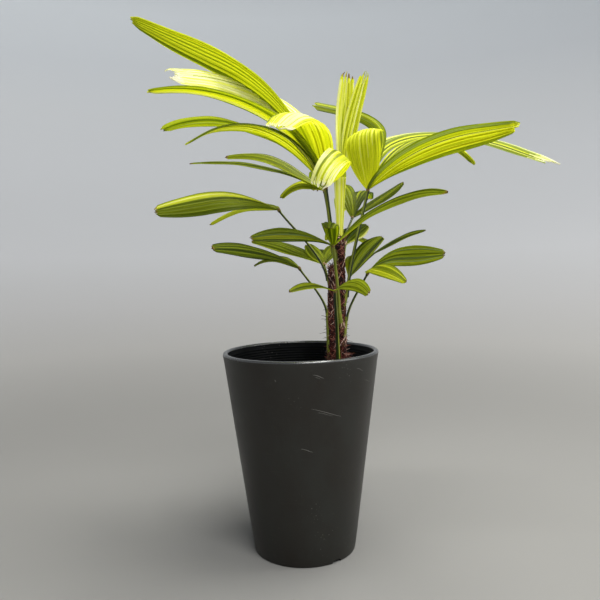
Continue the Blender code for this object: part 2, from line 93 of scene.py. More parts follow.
# Pot's finishes: name, dark and fair colour, colour where it is worn, roughness, specular
POT_OUTSIDE, POT_SHADED_INSIDE, POT_LIP_HIGHLIGHTED = range(3)
POT_FINISHES = (
    ("pot_outside", (0.0076, 0.0056, 0.0036), (0.0112, 0.0118, 0.0095), (0.026, 0.024, 0.020),
     0.4, 0.42),
    # Inside: deeper and duller than the outside, painted shade.
    ("pot_inside_painted_shade", (0.0010, 0.0013, 0.0015), (0.0024, 0.0032, 0.0036), (0.005, 0.007, 0.008),
     0.42, 0.07),
    # Lip: paler and bluer than the outside, a painted highlight, on plastic that is glossier.
    ("pot_lip_painted_highlight", (0.0150, 0.0162, 0.0168), (0.0300, 0.0315, 0.0320), (0.080, 0.082, 0.083),
     0.24, 0.8),
)
SCRATCH_FINISH = (
    "pot_scratch", (0.070, 0.068, 0.062), (0.210, 0.205, 0.190), (0.40, 0.39, 0.37), 0.5, 0.4,
)
SCRATCH_RINGS = 15
DUST_COLOUR = (0.15, 0.14, 0.125)

# Scratches on the pot: bearing and height of both ends, width in millimetres
POT_SCRATCHES = (
    (278.0, 144.6, 285.5, 142.0, 0.35),
    (279.5, 142.6, 283.0, 141.6, 0.20),
    (276.5, 120.5, 300.0, 113.2, 0.30),
    (281.0, 117.5, 293.0, 114.4, 0.18),
    (268.6, 91.7, 277.9, 89.1, 0.30),
    (252.0, 141.0, 252.6, 140.2, 0.90),
    (312.0, 146.0, 319.0, 143.5, 0.22),
    (322.0, 136.0, 331.0, 133.5, 0.25),
)

# Soil
SOIL_TOP = 128 * MM
SOIL_EDGE_DROP = 2.5 * MM
SOIL_FLAT_RADIUS = 44 * MM
SOIL_RELIEF = 1.6 * MM
SOIL_RINGS = 60
SOIL_SIDES = 140
SOIL_CHIPS = 1500
SOIL_WALL_GAP = 0.9 * MM
SOIL_CHIP_ODDS = (0.3, 0.35, 0.25, 0.1)

# Chips in the soil: gaps to the pot and the canes, sizes in millimetres, lean in radians
CHIP_WALL_GAP = 2.5 * MM
CHIP_CANE_GAP = 6 * MM
CHIP_LENGTHS = (0.8, 3.2)
CHIP_WIDTHS = (0.6, 2.0)
CHIP_HEIGHTS = (0.3, 0.9)
GRAIN_ODDS = 0.4
GRAIN_SIZES = (0.3, 0.8)
CHIP_LEAN = 0.35
CHIP_ROUGHNESS = 0.35
CHIP_HIGHEST = SOIL_TOP + 1.2 * MM
CHIP_CORNERS = (
    (-1, -1, -1), (1, -1, -1), (1, 1, -1), (-1, 1, -1), (-1, -1, 1), (1, -1, 1), (1, 1, 1), (-1, 1, 1),
)
CHIP_SIDES = ((0, 3, 2, 1), (4, 5, 6, 7), (0, 1, 5, 4), (1, 2, 6, 5), (2, 3, 7, 6), (3, 0, 4, 7))
SOIL_COLOURS = {
    "soil_mix": ((0.012, 0.009, 0.007), (0.035, 0.024, 0.017)),
    "soil_bark": ((0.030, 0.016, 0.010), (0.075, 0.043, 0.026)),
    "soil_peat": ((0.010, 0.007, 0.006), (0.028, 0.019, 0.014)),
    "soil_grit": ((0.110, 0.085, 0.060), (0.230, 0.190, 0.145)),
}

# Canes, as in the solids
Cane = namedtuple("Cane", "foot top foot_radius waist_radius top_radius")
CANE_TALL = Cane(
    foot=Vector((31.0, 5.4, 0)) * MM,
    top=Vector((32.3, 0.5, 241)) * MM,
    foot_radius=4.1 * MM,
    waist_radius=3.8 * MM,
    top_radius=2.8 * MM,
)
CANE_SHORT = Cane(
    foot=Vector((22.8, -3.0, 0)) * MM,
    top=Vector((25.4, -1.5, 219)) * MM,
    foot_radius=4.7 * MM,
    waist_radius=4.3 * MM,
    top_radius=1.7 * MM,
)
CANE_FLARE_HEIGHT = 16 * MM
CANE_SIDES = 56
CANE_RINGS = 220
CANE_SHEATH_PITCH = 17 * MM
CANE_SHEATH_SLANT = 1.6 * MM
CANE_ROUNDED_TOP = 6 * MM

# Skin of a cane: strands woven round it, and how far weave, sheath edges and lumps stand out
WEAVE_STRANDS = 7
WEAVE_RISE = 0.75 * MM
WEAVE_FALL = 0.62 * MM
WEAVE_RELIEF = 0.2 * MM
SHEATH_EDGE_RELIEF = 0.45 * MM
LUMP_RELIEF = 0.8 * MM
CANE_SKIN_SUNK = 0.4 * MM

# Fibres: how many, steps along each, lengths in millimetres, turns in radians, radii, kinds
CANE_FIBRES = 760
FIBRE_STEPS = 11
FIBRE_LENGTHS = (3, 11)
FIBRE_SWINGS = (0.3, 2.2)
FIBRE_RADII = (0.14, 0.36)
FIBRE_KINDS = (0, 1, 2, 3)
FIBRE_ODDS = (0.36, 0.40, 0.17, 0.07)
FIBRE_AXIS = (0.31, 0.2, 0.93)
HAIR_STEPS = 9
HAIR_RADII = (0.10, 0.20)
HAIR_AXIS = (0.3, 0.25, 0.92)
Tuft = namedtuple("Tuft", "kinds count heights lengths lift thick bearing spread", defaults=(0.0, math.pi))
FIBRE_COLOURS = {
    "fibre_core": ((0.005, 0.002, 0.002), (0.030, 0.006, 0.005)),
    "fibre_maroon": ((0.045, 0.007, 0.005), (0.120, 0.022, 0.016)),
    "fibre_russet": ((0.170, 0.050, 0.034), (0.330, 0.130, 0.090)),
    "fibre_pale": ((0.420, 0.250, 0.200), (0.720, 0.520, 0.430)),
}

# Leaflets, by the rule of the solids
LEAF_THICKNESS = 0.45 * MM
LEAF_ROOT_WIDTH = 2.4 * MM
LEAF_ARCH = 0.22
LEAF_WIDEST_SHARE = 0.5
LEAF_OPENING_POWER = 0.9
LEAF_NARROWING_POWER = 2.4
LEAF_ROOT_TURN_SHARE = 0.35
LEAF_TIP_START = 0.965
LEAF_TIP_CORNER = 0.5
MIDRIB_STEPS = 240

# Pleats, rows and columns of cells: lengths with no MM are in millimetres
RIB_SPACING = 3.1
RIB_COUNTS = (3, 10)
COLUMNS_PER_RIB = 6
ROW_SPACING = 2.8
BODY_ROWS = 16
TIP_ROWS = 8
TIP_ROWS_RUN = 1.3
WIDE_BLADE = 20
WIDE_PLEAT = 0.36 * MM
NARROW_PLEAT = 0.24 * MM
SPEAR_PLEAT = 0.55 * MM
EDGE_WAVE = 0.35 * MM
EDGE_WAVE_LENGTH = 9
TEXTURE_SHIFT = 400
TUBE_TEXTURE = 2.2

# Torn tips: columns in a finger, shift of the cuts and slits, length lost, width kept at the point
FRAYED_FROM = 0.05
FINGER_COLUMNS = {True: 6, False: 9}
FINGER_COUNTS = (2, 7)
CUT_SHIFT = 0.9
SLIT_SHIFTS = (-1, 4)
FINGER_LOSS = 0.45
FINGER_POINTS = (0.12, 0.4)
SLIT_POWER = 1.3

# Stripes: tones of a plain leaf, odds of a darker line on a rib, painted shade of the pleat, and of a torn
# column, and its run
PLAIN_TONES = "gmmmll"
PLAIN_STRIPES = 9
RIB_SHADE_LINE_ODDS = 0.75
TORN_ODDS = {True: 0.85, False: 0.55}
TORN_RUN = 0.55
TORN_SPREAD = 0.5

# Hubs and petioles
HUB_RADIUS = 1.35 * MM
HUB_SWELL = 1.15
PETIOLE_SLIMNESS = 0.9
OLD_PETIOLE_SLIMNESS = 0.85
PETIOLE_SIDES = 16
PETIOLE_RINGS = 44
PETIOLE_CLEARANCE_SHARE = 1.12
PETIOLE_FOOT_SWELL = 1.1
PETIOLE_UPRIGHT_SHARE = 0.3
PETIOLE_OUTWARD_SHARE = 0.06
PETIOLE_LEAN_SHARE = 0.25
PETIOLE_TAPER = 0.15
SOIL_PETIOLE_FOOT = Vector((28.5, -8.6, 0)) * MM
SOIL_PETIOLE_SWELL = 1.5
SOIL_PETIOLE_UPRIGHT_SHARE = 0.62
GAP = 0.3 * MM

# Hub: rings along it and where they start and end, in radii from its middle
HUB_RINGS = 12
HUB_START = -2.0
HUB_END = 0.95
HUB_RUN = 4.2
HUB_CLEAR = 2.1
HUB_COLOUR_FROM = 4
# The deep stalk colour is painted shade: the dark side of a young stalk, and most of an old one.
STALK_OLIVE, STALK_HUB, STALK_SHEATH, STALK_PAINTED_SHADE = range(4)
STALK_COLOURS = {
    "stalk_olive": ((0.085, 0.105, 0.008), (0.240, 0.270, 0.030)),
    "stalk_hub": ((0.120, 0.075, 0.016), (0.240, 0.150, 0.035)),
    "stalk_sheath": ((0.060, 0.035, 0.012), (0.200, 0.150, 0.045)),
    "stalk_painted_shade": ((0.005, 0.014, 0.002), (0.020, 0.036, 0.004)),
}

# Clasping sheath under a stalk: widths in radians and in radii of the stalk
SHEATH_RINGS = 18
SHEATH_COLUMNS = 12
SHEATH_RISE = 3
SHEATH_SPREAD = 1.05
SHEATH_CROWN = 1.9
SHEATH_RIM = 0.55 * MM
SHEATH_DEPTH = 0.6 * MM
SHEATH_OLIVE_SHARE = 0.62

# bearing, rise, length, width, fall, bend, veer, roll, tip: the blade, as in the solids
# stripes: tones across the blade, from its right edge to its left edge, see TONES
# fray: how deep the tip is torn into strips, as a share of the length
# painted highlight: share of the length from which the blade turns pale, where it lies in full light
# ends: tones of the torn tip
Leaflet = namedtuple(
    "Leaflet",
    "bearing rise length width fall bend veer roll tip stripes fray bleach ends",
    defaults=(30, (0.0, 1.0), 0, 0, 0.42, None, 0.035, 1.1, "tb"),
)
Frond = namedtuple("Frond", "cane height side hub thickness sheath leaflets")

FRONDS = {
    "frond_top_left": Frond(CANE_TALL, 228, 195, (21.4, -15, 276.8), 3.8, 10, (
        Leaflet(168, 71, 212, 25, fall=43, bend=(0.05, 0.62), roll=-36, tip=0.36,
                stripes="iggmgyigmlyiggyimgyoymgyioypgi", fray=0.02, ends="yi"),
        # Its cream stripes are its own colour; the bleached white ones are painted light against the shade
        # of the leaflet above it.
        Leaflet(134, 67, 174, 24, fall=75, bend=(0.19, 0.84), veer=94, roll=50, tip=0.65,
                stripes="pcpwcpcwcpmcwcpcpwcpc", fray=0.13, ends="cw"),
        Leaflet(240, 53, 154, 14, fall=61, veer=-63, roll=-9,
                stripes="gpyyiggmlilm", fray=0.03, ends="iy"),
        # Its fold turns pale: painted highlight.
        Leaflet(256, 64, 115, 27, fall=96, bend=(0.1, 0.87), veer=-11, roll=16, tip=0.61,
                stripes="lilmilyyoyyyoyyiyyoy", fray=0.07, bleach=0.46, ends="cw"),
        Leaflet(155, 53, 182, 17, fall=63, veer=-11, roll=-19,
                stripes="mlmvmmdglmvll", fray=0.03, ends="lg"),
        Leaflet(213, 51, 129, 16.5, fall=83, bend=(0.12, 0.9), veer=5, roll=-5, tip=0.34,
                stripes="mlyygyyogyyoilcvmgdgd", fray=0.04, ends="mi"),
        # Its fold turns pale: painted highlight.
        Leaflet(282, 18, 96, 16, fall=94, bend=(0.44, 0.99), veer=-90, roll=39, tip=0.98,
                stripes="cpcylmlpyilmiyliyyiy", fray=0.08, bleach=0.72, ends="cw"),
    )),
    "frond_upper_left": Frond(CANE_TALL, 221, 130, (21.5, 10, 277.5), 2.6, 8, (
        Leaflet(152, 34, 98, 14, fall=40, bend=(0.36, 1.0), veer=10, roll=31, tip=0.5,
                stripes="gmcglmmlmmll"),
        Leaflet(141, 29, 148, 9, fall=29, veer=11, roll=23, tip=0.26, stripes="mgmdgm"),
        Leaflet(132, 21, 50, 12.5, fall=74, bend=(0.38, 0.96), veer=35, roll=46, tip=0.5,
                stripes="liyyilmli"),
        Leaflet(92, 44, 112, 17, fall=74),
        Leaflet(76, 50, 92, 16, fall=75),
    )),
    "frond_middle_left": Frond(CANE_SHORT, 207, 165, (-14.3, 0, 262.3), 2.2, 8, (
        Leaflet(211, 17, 95, 18, fall=27, bend=(0.05, 0.6), veer=-18, roll=75,
                stripes="lipyimgmmgmmgmgg", fray=0.03),
        Leaflet(137, 9, 72, 14, fall=37, bend=(0.3, 0.9), veer=30, roll=27, stripes="mliylil"),
        Leaflet(112, 20, 74, 14, fall=28),
    )),
    "frond_low_left": Frond(CANE_SHORT, 182, 195, (0.3, -8, 217.6), 2.1, 48, (
        Leaflet(208, 28, 75, 14, fall=33, veer=12, roll=50, stripes="gmgmggmgdgmgd"),
        Leaflet(131, 20, 54, 12, fall=49, bend=(0.3, 1.0), veer=11, roll=23, stripes="mlmlgm"),
        Leaflet(160, 30, 46, 11, fall=30, roll=20),
    )),
    "frond_left_back": Frond(CANE_SHORT, 196, 100, (20, 12, 220.3), 2.3, 10, (
        Leaflet(137, 21, 80, 18, fall=19, bend=(0.44, 1.0), veer=17, roll=20, stripes="gmmgmlmgmmgl"),
        Leaflet(120, 38, 30, 12, fall=10, roll=20),
        Leaflet(91, 25, 62, 13, fall=26, stripes="mlmdmlm"),
        Leaflet(72, 30, 62, 13, fall=30, roll=-20),
    )),
    "frond_front": Frond(CANE_TALL, 182, 255, (25.3, -28, 233.1), 2.9, 14, (
        Leaflet(211, 23, 66, 12, fall=37, veer=-8, roll=60, tip=0.25, stripes="mgmmgduoolgd"),
        Leaflet(262, 50, 40, 12, fall=95, bend=(0.3, 1.0), roll=8, tip=0.6, stripes="gmgdgmgdgmg"),
        Leaflet(354, 41, 97, 15, fall=49, bend=(0.25, 0.9), veer=-44, roll=-34, tip=0.2,
                stripes="lmlmglmgmdgm", fray=0.04),
    )),
    "frond_low_front": Frond(None, 0, 270, (26.2, -26, 200.1), 3.2, 0, (
        Leaflet(220, 17, 42, 10, fall=44, bend=(0.3, 1.0), veer=-16, roll=25, tip=0.25),
        Leaflet(307, 33, 42, 10, fall=70, veer=-11, roll=-65, tip=0.5, stripes="mlgmlmglm"),
    )),
    "frond_low_right": Frond(CANE_TALL, 176, 335, (52.6, -6, 212.5), 2.2, 20, (
        Leaflet(328, 46, 63, 16, fall=45, bend=(0.0, 0.5), veer=4, roll=-75, tip=0.3,
                stripes="mlvmulmgmlumm"),
        Leaflet(275, 20, 47, 14, fall=61, bend=(0.1, 0.95), veer=66, roll=-39, tip=0.3,
                stripes="liylmgilm"),
        Leaflet(12, 38, 56, 12, fall=50, roll=-30),
    )),
    "frond_right_back": Frond(CANE_TALL, 186, 50, (41.2, 24, 209.7), 2.2, 10, (
        Leaflet(52, 54, 60, 16, fall=39, veer=-5, roll=-18, stripes="mdgmlmgmgd"),
        Leaflet(50, 29, 118, 11, fall=21, bend=(0.15, 1.0), veer=-13, roll=38, tip=0.2,
                stripes="gmlmdgm"),
        Leaflet(78, 36, 84, 16, fall=50),
    )),
    "frond_inner_back": Frond(CANE_TALL, 212, 62, (38.8, 30, 236), 2.2, 8, (
        Leaflet(55, 31, 42, 13, fall=13, roll=-40, stripes="cmgmugm"),
        Leaflet(82, 34, 96, 17, fall=60),
        Leaflet(97, 30, 84, 15, fall=50),
        Leaflet(66, 20, 76, 14, fall=40, roll=-10),
    )),
    "frond_top_right": Frond(CANE_TALL, 194, 345, (53.6, -8, 275.1), 2.9, 12, (
        Leaflet(72, 121, 65, 26, fall=114, bend=(0.51, 0.79), veer=-22, tip=0.45,
                stripes="yyyiyyyyyyiyyyyyyiyy", fray=0.04, ends="yi"),
        # The grey-green stripes near its right edge are a painted reflection of the sky.
        Leaflet(315, 38, 117, 31, fall=32, bend=(0.0, 0.75), veer=33, roll=23, tip=0.36,
                stripes="muuvudvgmliolipgyyyoyyigyoilmmg", fray=0.06, ends="yy"),
        Leaflet(80, 46, 246, 26, fall=73, bend=(0.07, 0.85), veer=-106, roll=-27, tip=0.42,
                stripes="vmlpguylumpvlgcupvyp", fray=0.11, ends="cw"),
        Leaflet(39, 50, 161, 13, fall=79, bend=(0.1, 0.95), veer=3, roll=-11,
                stripes="ylmigmy", ends="yi"),
        Leaflet(32, 65, 136, 9.5, fall=57, bend=(0.06, 0.99), veer=163, roll=58, tip=1.0,
                stripes="mlmilmgmlmm", ends="mi"),
    )),
    "frond_upper_back": Frond(CANE_TALL, 224, 82, (45.3, 34, 258), 2.4, 8, (
        Leaflet(48, 24, 76, 14, fall=-5, veer=-11, roll=-10, tip=0.32, stripes="gmlggm"),
        Leaflet(74, 50, 96, 17, fall=70, stripes="dgmglgdmg"),
        Leaflet(92, 46, 104, 18, fall=76),
        Leaflet(100, 66, 58, 15, fall=60, roll=16),
    )),
}
# Old stalks that get no painted shade, olive all round.
UNSHADED_STALKS = ("frond_front",)
YOUNG_FRONDS = ("frond_top_left", "frond_top_right")

SPEAR_STALK_TOP = Vector((33.4, 1.5, 286)) * MM
SPEAR_STALK_BASE_WIDTH = 4.6 * MM
SPEAR_STALK_TOP_WIDTH = 9.2 * MM
SPEAR_STALK_DEPTH = 4.4 * MM
SPEAR_STALK_RINGS = 40
SPEAR_STALK_SIDES = 48
SPEAR_STALK_STRIPES = "pypcpcyptpcypcpyicpypcpypcpy"
SPEAR_BLADES_SUNK = 6 * MM
SPEAR_BLADES = (
    Leaflet(2, 87, 86, 13.5, fall=4, roll=82, tip=0.75,
            stripes="ccpycpypcyoypypc", fray=0.1, ends="yt"),
    Leaflet(355, 81, 88, 11.5, fall=10, roll=98, tip=0.55,
            stripes="cpiypypcyiy", fray=0.12, ends="yi"),
    Leaflet(30, 87, 76, 8, fall=8, roll=60, tip=0.5,
            stripes="iyliyp", fray=0.08, ends="yi"),
)

# Stage: height, and paint at heights above the floor in metres
STAGE_HEIGHT = 2.4
STAGE_FLAT = 0.45
STAGE_REACH = 2.3
STAGE_SWEEP_SHARE = 0.75
STAGE_SIDES = 120
STAGE_SHADES = (
    (0.0, (0.177, 0.176, 0.168)),
    (0.05, (0.256, 0.254, 0.246)),
    (0.13, (0.319, 0.319, 0.321)),
    (0.26, (0.403, 0.410, 0.422)),
    (0.42, (0.447, 0.458, 0.473)),
    (0.6, (0.508, 0.522, 0.540)),
    (0.83, (0.570, 0.588, 0.606)),
    (1.05, (0.615, 0.642, 0.670)),
    (1.3, (0.715, 0.750, 0.780)),
    (2.4, (0.780, 0.800, 0.820)),
)

# Leaf tones: letter, name, colour by reflected light, colour by the light that comes through
TONES = {
    "d": ("deep_green", (0.030, 0.045, 0.002), (0.24, 0.32, 0.015)),
    "g": ("green", (0.078, 0.104, 0.004), (0.46, 0.55, 0.030)),
    "m": ("fresh_green", (0.150, 0.184, 0.007), (0.62, 0.69, 0.050)),
    "l": ("light_green", (0.275, 0.318, 0.012), (0.77, 0.825, 0.070)),
    "i": ("lime", (0.440, 0.484, 0.018), (0.875, 0.91, 0.080)),
    "y": ("yellow", (0.660, 0.695, 0.036), (0.955, 0.975, 0.130)),
    "p": ("pale_yellow", (0.770, 0.795, 0.170), (0.965, 0.98, 0.360)),
    "c": ("cream", (0.830, 0.845, 0.400), (0.97, 0.98, 0.600)),
    "o": ("olive", (0.195, 0.205, 0.004), (0.66, 0.67, 0.030)),
    "u": ("grey_green", (0.105, 0.150, 0.042), (0.44, 0.53, 0.170)),
    "v": ("pale_grey_green", (0.230, 0.300, 0.085), (0.66, 0.74, 0.280)),
    "t": ("tan", (0.330, 0.230, 0.075), (0.60, 0.46, 0.240)),
    "b": ("brown", (0.120, 0.065, 0.020), (0.44, 0.28, 0.120)),
    "w": ("bleached", (0.860, 0.850, 0.680), (0.95, 0.94, 0.820)),
}
TONE_RAMP = "dgmliypc"
# Run over which the painted highlight comes in, as a share of the length
PAINTED_HIGHLIGHT_RUN = 0.1

# Leaf material: share of light that comes through, and streaks as places and factors of the colour
GLOW_SHARE = 0.6
LEAF_STREAKS = ((0.25, 0.66), (0.5, 1.0), (0.78, 1.2))
GLOW_STREAKS = ((0.25, 0.84), (0.75, 1.02))

# Span that most of a noise covers
NOISE_SPAN = (0.3, 0.7)

# Grained materials: scale and detail of the noise, roughness on average, lowest and highest,
# specular, strength and depth of the relief, roughness of the noise, scale of dull patches
Grain = namedtuple(
    "Grain",
    "scale detail average smoothest roughest specular strength depth noise_roughness patches",
    defaults=(0.55, None),
)
STALK_GRAIN = Grain((1.2, 0.05, 1.0), 4.0, 0.42, 0.36, 0.5, 0.35, 0.4, 0.15 * MM)
FIBRE_GRAIN = Grain((1500, 1500, 500), 3.0, 0.5, 0.42, 0.62, 0.25, 0.6, 0.2 * MM)
SOIL_GRAIN = Grain((420, 420, 420), 6.0, 0.9, 0.7, 0.98, 0.25, 0.9, 0.6 * MM, 0.7, (60, 60, 60))

# Lights: name, place, width and depth in metres, power in watts, colour
LIGHT_AIM = (0.03, 0.0, 0.25)
LIGHTS = (
    ("key", (0.32, 0.02, 1.5), (0.55, 0.55), 29, (1.0, 0.985, 0.95)),
    ("top_front", (0.4, -0.95, 1.3), (0.8, 0.6), 23, (1.0, 0.99, 0.97)),
    ("right_fill", (1.12, -0.27, 0.98), (0.8, 0.8), 7.4, (1.0, 0.99, 0.96)),
)
WORLD_COLOUR = (0.97, 0.98, 1.0)
WORLD_STRENGTH = 0.45


def new_material(name):
    """Material with an empty node tree, and that tree."""
    material = bpy.data.materials.new(name)
    material.use_nodes = True
    material.node_tree.nodes.clear()
    return material, material.node_tree


def node(tree, kind, **values):
    """New shader node. Values go to its sockets by name, or to its settings."""
    made = tree.nodes.new(kind)
    for name, value in values.items():
        socket = made.inputs.get(name.replace("_", " "))
        if socket is not None:
            socket.default_value = value
        else:
            setattr(made, name, value)
    return made


def principled(tree, average, specular, colour, roughness, normal=None):
    """Standard shader with its colour, roughness and normal taken from other nodes."""
    shader = node(tree, "ShaderNodeBsdfPrincipled", Roughness=average, Specular_IOR_Level=specular)
    tree.links.new(colour, shader.inputs["Base Color"])
    tree.links.new(roughness, shader.inputs["Roughness"])
    if normal is not None:
        tree.links.new(normal, shader.inputs["Normal"])
    return shader.outputs["BSDF"]


def show(tree, shader):
    """Makes a shader the look of its material."""
    output = tree.nodes.new("ShaderNodeOutputMaterial")
    tree.links.new(shader, output.inputs["Surface"])


def blade_place(tree):
    """Coordinates across and along a blade or round a stalk, in millimetres."""
    return node(tree, "ShaderNodeUVMap", uv_map="blade").outputs["UV"]


def object_place(tree):
    """Coordinates in the part's frame, in metres."""
    return tree.nodes.new("ShaderNodeTexCoord").outputs["Object"]


def stretched_noise(tree, coordinates, scale, detail=2.0, rough=0.55):
    """Noise over coordinates that are first scaled by three factors."""
    mapping = node(tree, "ShaderNodeMapping", Scale=scale)
    tree.links.new(coordinates, mapping.inputs["Vector"])
    made = node(tree, "ShaderNodeTexNoise", Scale=1.0, Detail=detail, Roughness=rough)
    tree.links.new(mapping.outputs["Vector"], made.inputs["Vector"])
    return made.outputs["Fac"]


def ramp(tree, factor, stops):
    """Colour ramp from (position, colour) stops."""
    stops = list(stops)
    made = tree.nodes.new("ShaderNodeValToRGB")
    elements = made.color_ramp.elements
    while len(elements) < len(stops):
        elements.new(0.5)
    for element, (position, colour) in zip(elements, stops):
        element.position = position
        element.color = (*colour, 1.0)
    tree.links.new(factor, made.inputs["Fac"])
    return made.outputs["Color"]


def bump(tree, height, strength, distance, after=None):
    made = node(tree, "ShaderNodeBump", Strength=strength, Distance=distance)
    tree.links.new(height, made.inputs["Height"])
    if after is not None:
        tree.links.new(after, made.inputs["Normal"])
    return made.outputs["Normal"]


def shaded(colour, factor):
    return tuple(min(0.99, c * factor) for c in colour)


def map_range(tree, value, low, high, to_low, to_high):
    made = node(tree, "ShaderNodeMapRange", From_Min=low, From_Max=high, To_Min=to_low, To_Max=to_high)
    tree.links.new(value, made.inputs["Value"])
    return made.outputs["Result"]


def two_tone(tree, factor, dark, fair):
    """Colour that a noise takes from dark to fair."""
    return ramp(tree, factor, zip(NOISE_SPAN, (dark, fair)))


def stained(tree, factor, first, colour):
    """A colour from a node, turned into another one by a factor."""
    made = node(tree, "ShaderNodeMix", data_type="RGBA")
    made.inputs["B"].default_value = (*colour, 1.0)
    tree.links.new(factor, made.inputs["Factor"])
    tree.links.new(first, made.inputs["A"])
    return made.outputs["Result"]


def leaf_material(name, colour, glow):
    """Satin leaf: streaks and veins run along the blade, and light comes through it."""
    material, tree = new_material("leaf_" + name)
    place = blade_place(tree)
    streaks = stretched_noise(tree, place, (1.3, 0.03, 1.0), 4.0)
    cells = stretched_noise(tree, place, (2.2, 0.6, 1.0))
    veins = stretched_noise(tree, place, (2.6, 0.02, 1.0))
    normal = bump(tree, veins, 0.5, 0.14 * MM)
    colours = ramp(tree, streaks, [(at, shaded(colour, factor)) for at, factor in LEAF_STREAKS])
    roughness = map_range(tree, cells, *NOISE_SPAN, 0.4, 0.6)
    skin = principled(tree, 0.5, 0.2, colours, roughness, normal)
    light = tree.nodes.new("ShaderNodeBsdfTranslucent")
    lit = ramp(tree, streaks, [(at, shaded(glow, factor)) for at, factor in GLOW_STREAKS])
    tree.links.new(lit, light.inputs["Color"])
    tree.links.new(normal, light.inputs["Normal"])
    mix = node(tree, "ShaderNodeMixShader", Fac=GLOW_SHARE)
    tree.links.new(skin, mix.inputs[1])
    tree.links.new(light.outputs["BSDF"], mix.inputs[2])
    show(tree, mix.outputs["Shader"])
    return material


def grained_material(name, grain, place, dark, fair):
    """Material whose colour and relief follow one noise, its roughness that or a wider one."""
    material, tree = new_material(name)
    coordinates = place(tree)
    fine = stretched_noise(tree, coordinates, grain.scale, grain.detail, grain.noise_roughness)
    wide = stretched_noise(tree, coordinates, grain.patches) if grain.patches else fine
    roughness = map_range(tree, wide, *NOISE_SPAN, grain.smoothest, grain.roughest)
    relief = bump(tree, fine, grain.strength, grain.depth)
    colour = two_tone(tree, fine, dark, fair)
    show(tree, principled(tree, grain.average, grain.specular, colour, roughness, relief))
    return material


def stalk_material(name, dark, fair):
    """Smooth stalk with faint lengthwise streaks."""
    return grained_material(name, STALK_GRAIN, blade_place, dark, fair)


def fibre_material(name, dark, fair):
    """Dry coarse fibre with a slight gloss."""
    return grained_material(name, FIBRE_GRAIN, object_place, dark, fair)


def soil_material(name, dark, fair):
    """Damp crumbly bark and grit."""
    return grained_material(name, SOIL_GRAIN, object_place, dark, fair)


def dust_specks(tree, place):
    """Share of dust: small specks, only in some patches."""
    cells = node(tree, "ShaderNodeTexVoronoi", Scale=380.0)
    tree.links.new(place, cells.inputs["Vector"])
    specks = map_range(tree, cells.outputs["Distance"], 0.08, 0.2, 0.5, 0.0)
    patches = map_range(tree, stretched_noise(tree, place, (34, 34, 34)), 0.56, 0.7, 0.0, 1.0)
    dust = node(tree, "ShaderNodeMath", operation="MULTIPLY")
    tree.links.new(specks, dust.inputs[0])
    tree.links.new(patches, dust.inputs[1])
    return dust.outputs["Value"]


def pot_material(name, dark, fair, worn_colour, gloss, specular):
    """Moulded plastic with faint turning lines, scuffs and dust."""
    material, tree = new_material(name)
    place = object_place(tree)
    lines = stretched_noise(tree, place, (9, 9, 1100), 3.0)
    patches = stretched_noise(tree, place, (30, 30, 22), 4.0, 0.6)
    grain = stretched_noise(tree, place, (2600, 2600, 2600))
    scuffs = stretched_noise(tree, place, (60, 60, 900), 5.0, 0.7)
    scuffed = map_range(tree, scuffs, 0.62, 0.74, 0.0, 0.7)
    worn = stained(tree, scuffed, two_tone(tree, patches, dark, fair), worn_colour)
    dusty = stained(tree, dust_specks(tree, place), worn, DUST_COLOUR)
    roughness = map_range(tree, patches, *NOISE_SPAN, gloss - 0.05, gloss + 0.09)
    turned_lines = bump(tree, lines, 0.3, 0.12 * MM)
    relief = bump(tree, grain, 0.3, 0.06 * MM, turned_lines)
    show(tree, principled(tree, gloss, specular, dusty, roughness, relief))
    return material


def stage_material():
    """Plain pale paint, deeper on the floor, so that floor and wall look alike under the light."""
    material, tree = new_material("stage_paint")
    place = object_place(tree)
    axes = tree.nodes.new("ShaderNodeSeparateXYZ")
    tree.links.new(place, axes.inputs["Vector"])
    height = map_range(tree, axes.outputs["Z"], 0.0, STAGE_HEIGHT, 0.0, 1.0)
    paint = ramp(tree, height, [(z / STAGE_HEIGHT, shade) for z, shade in STAGE_SHADES])
    patches = stretched_noise(tree, place, (1.3, 1.3, 1.3))
    roughness = map_range(tree, patches, *NOISE_SPAN, 0.86, 0.94)
    show(tree, principled(tree, 0.9, 0.1, paint, roughness))
    return material


def strip(low, high, count, mirrored=False):
    """Faces between two rings of count vertices, given the first vertex of each."""
    faces = []
    for k in range(count):
        after = (k + 1) % count
        others = (low + after, high + after, high + k)
        faces.append((low + k, *(others[::-1] if mirrored else others)))
    return faces


def tube_faces(rings, count, mirrored=False):
    """Faces of a closed tube of rings, its two ends last."""
    faces = []
    for ring in range(rings - 1):
        faces += strip(ring * count, (ring + 1) * count, count, mirrored)
    first = tuple(range(count))
    last = tuple(range((rings - 1) * count, rings * count))
    return faces + ([first, last[::-1]] if mirrored else [first[::-1], last])


def round_point(radius, turn, height):
    return radius * math.cos(turn), radius * math.sin(turn), height


def outward(turn):
    """Level unit vectors at bearings in radians."""
    return np.stack([np.cos(turn), np.sin(turn), np.zeros_like(turn)], -1)


def piece(name, vertices, faces, slots, materials, nodes, slot, uv=None, smooth=True, stage=False):
    """One mesh object from arrays, with a material for each face."""
    mesh = bpy.data.meshes.new(name)
    mesh.from_pydata(np.asarray(vertices, float).tolist(), [], faces)
    for material in materials:
        mesh.materials.append(material)
    mesh.polygons.foreach_set("material_index", np.asarray(slots, np.int32))
    if uv is not None:
        corner = np.zeros(len(mesh.loops), np.int32)
        mesh.loops.foreach_get("vertex_index", corner)
        layer = mesh.uv_layers.new(name="blade")
        layer.data.foreach_set("uv", np.asarray(uv, np.float32)[corner].ravel())
    mesh.validate()
    if smooth:
        mesh.shade_smooth()
        mesh.set_sharp_from_angle(angle=math.radians(50))
    obj = bpy.data.objects.new(name, mesh)
    bpy.context.scene.collection.objects.link(obj)
    if stage:
        return obj
    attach(obj, "root")
    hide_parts(*nodes)
    return obj


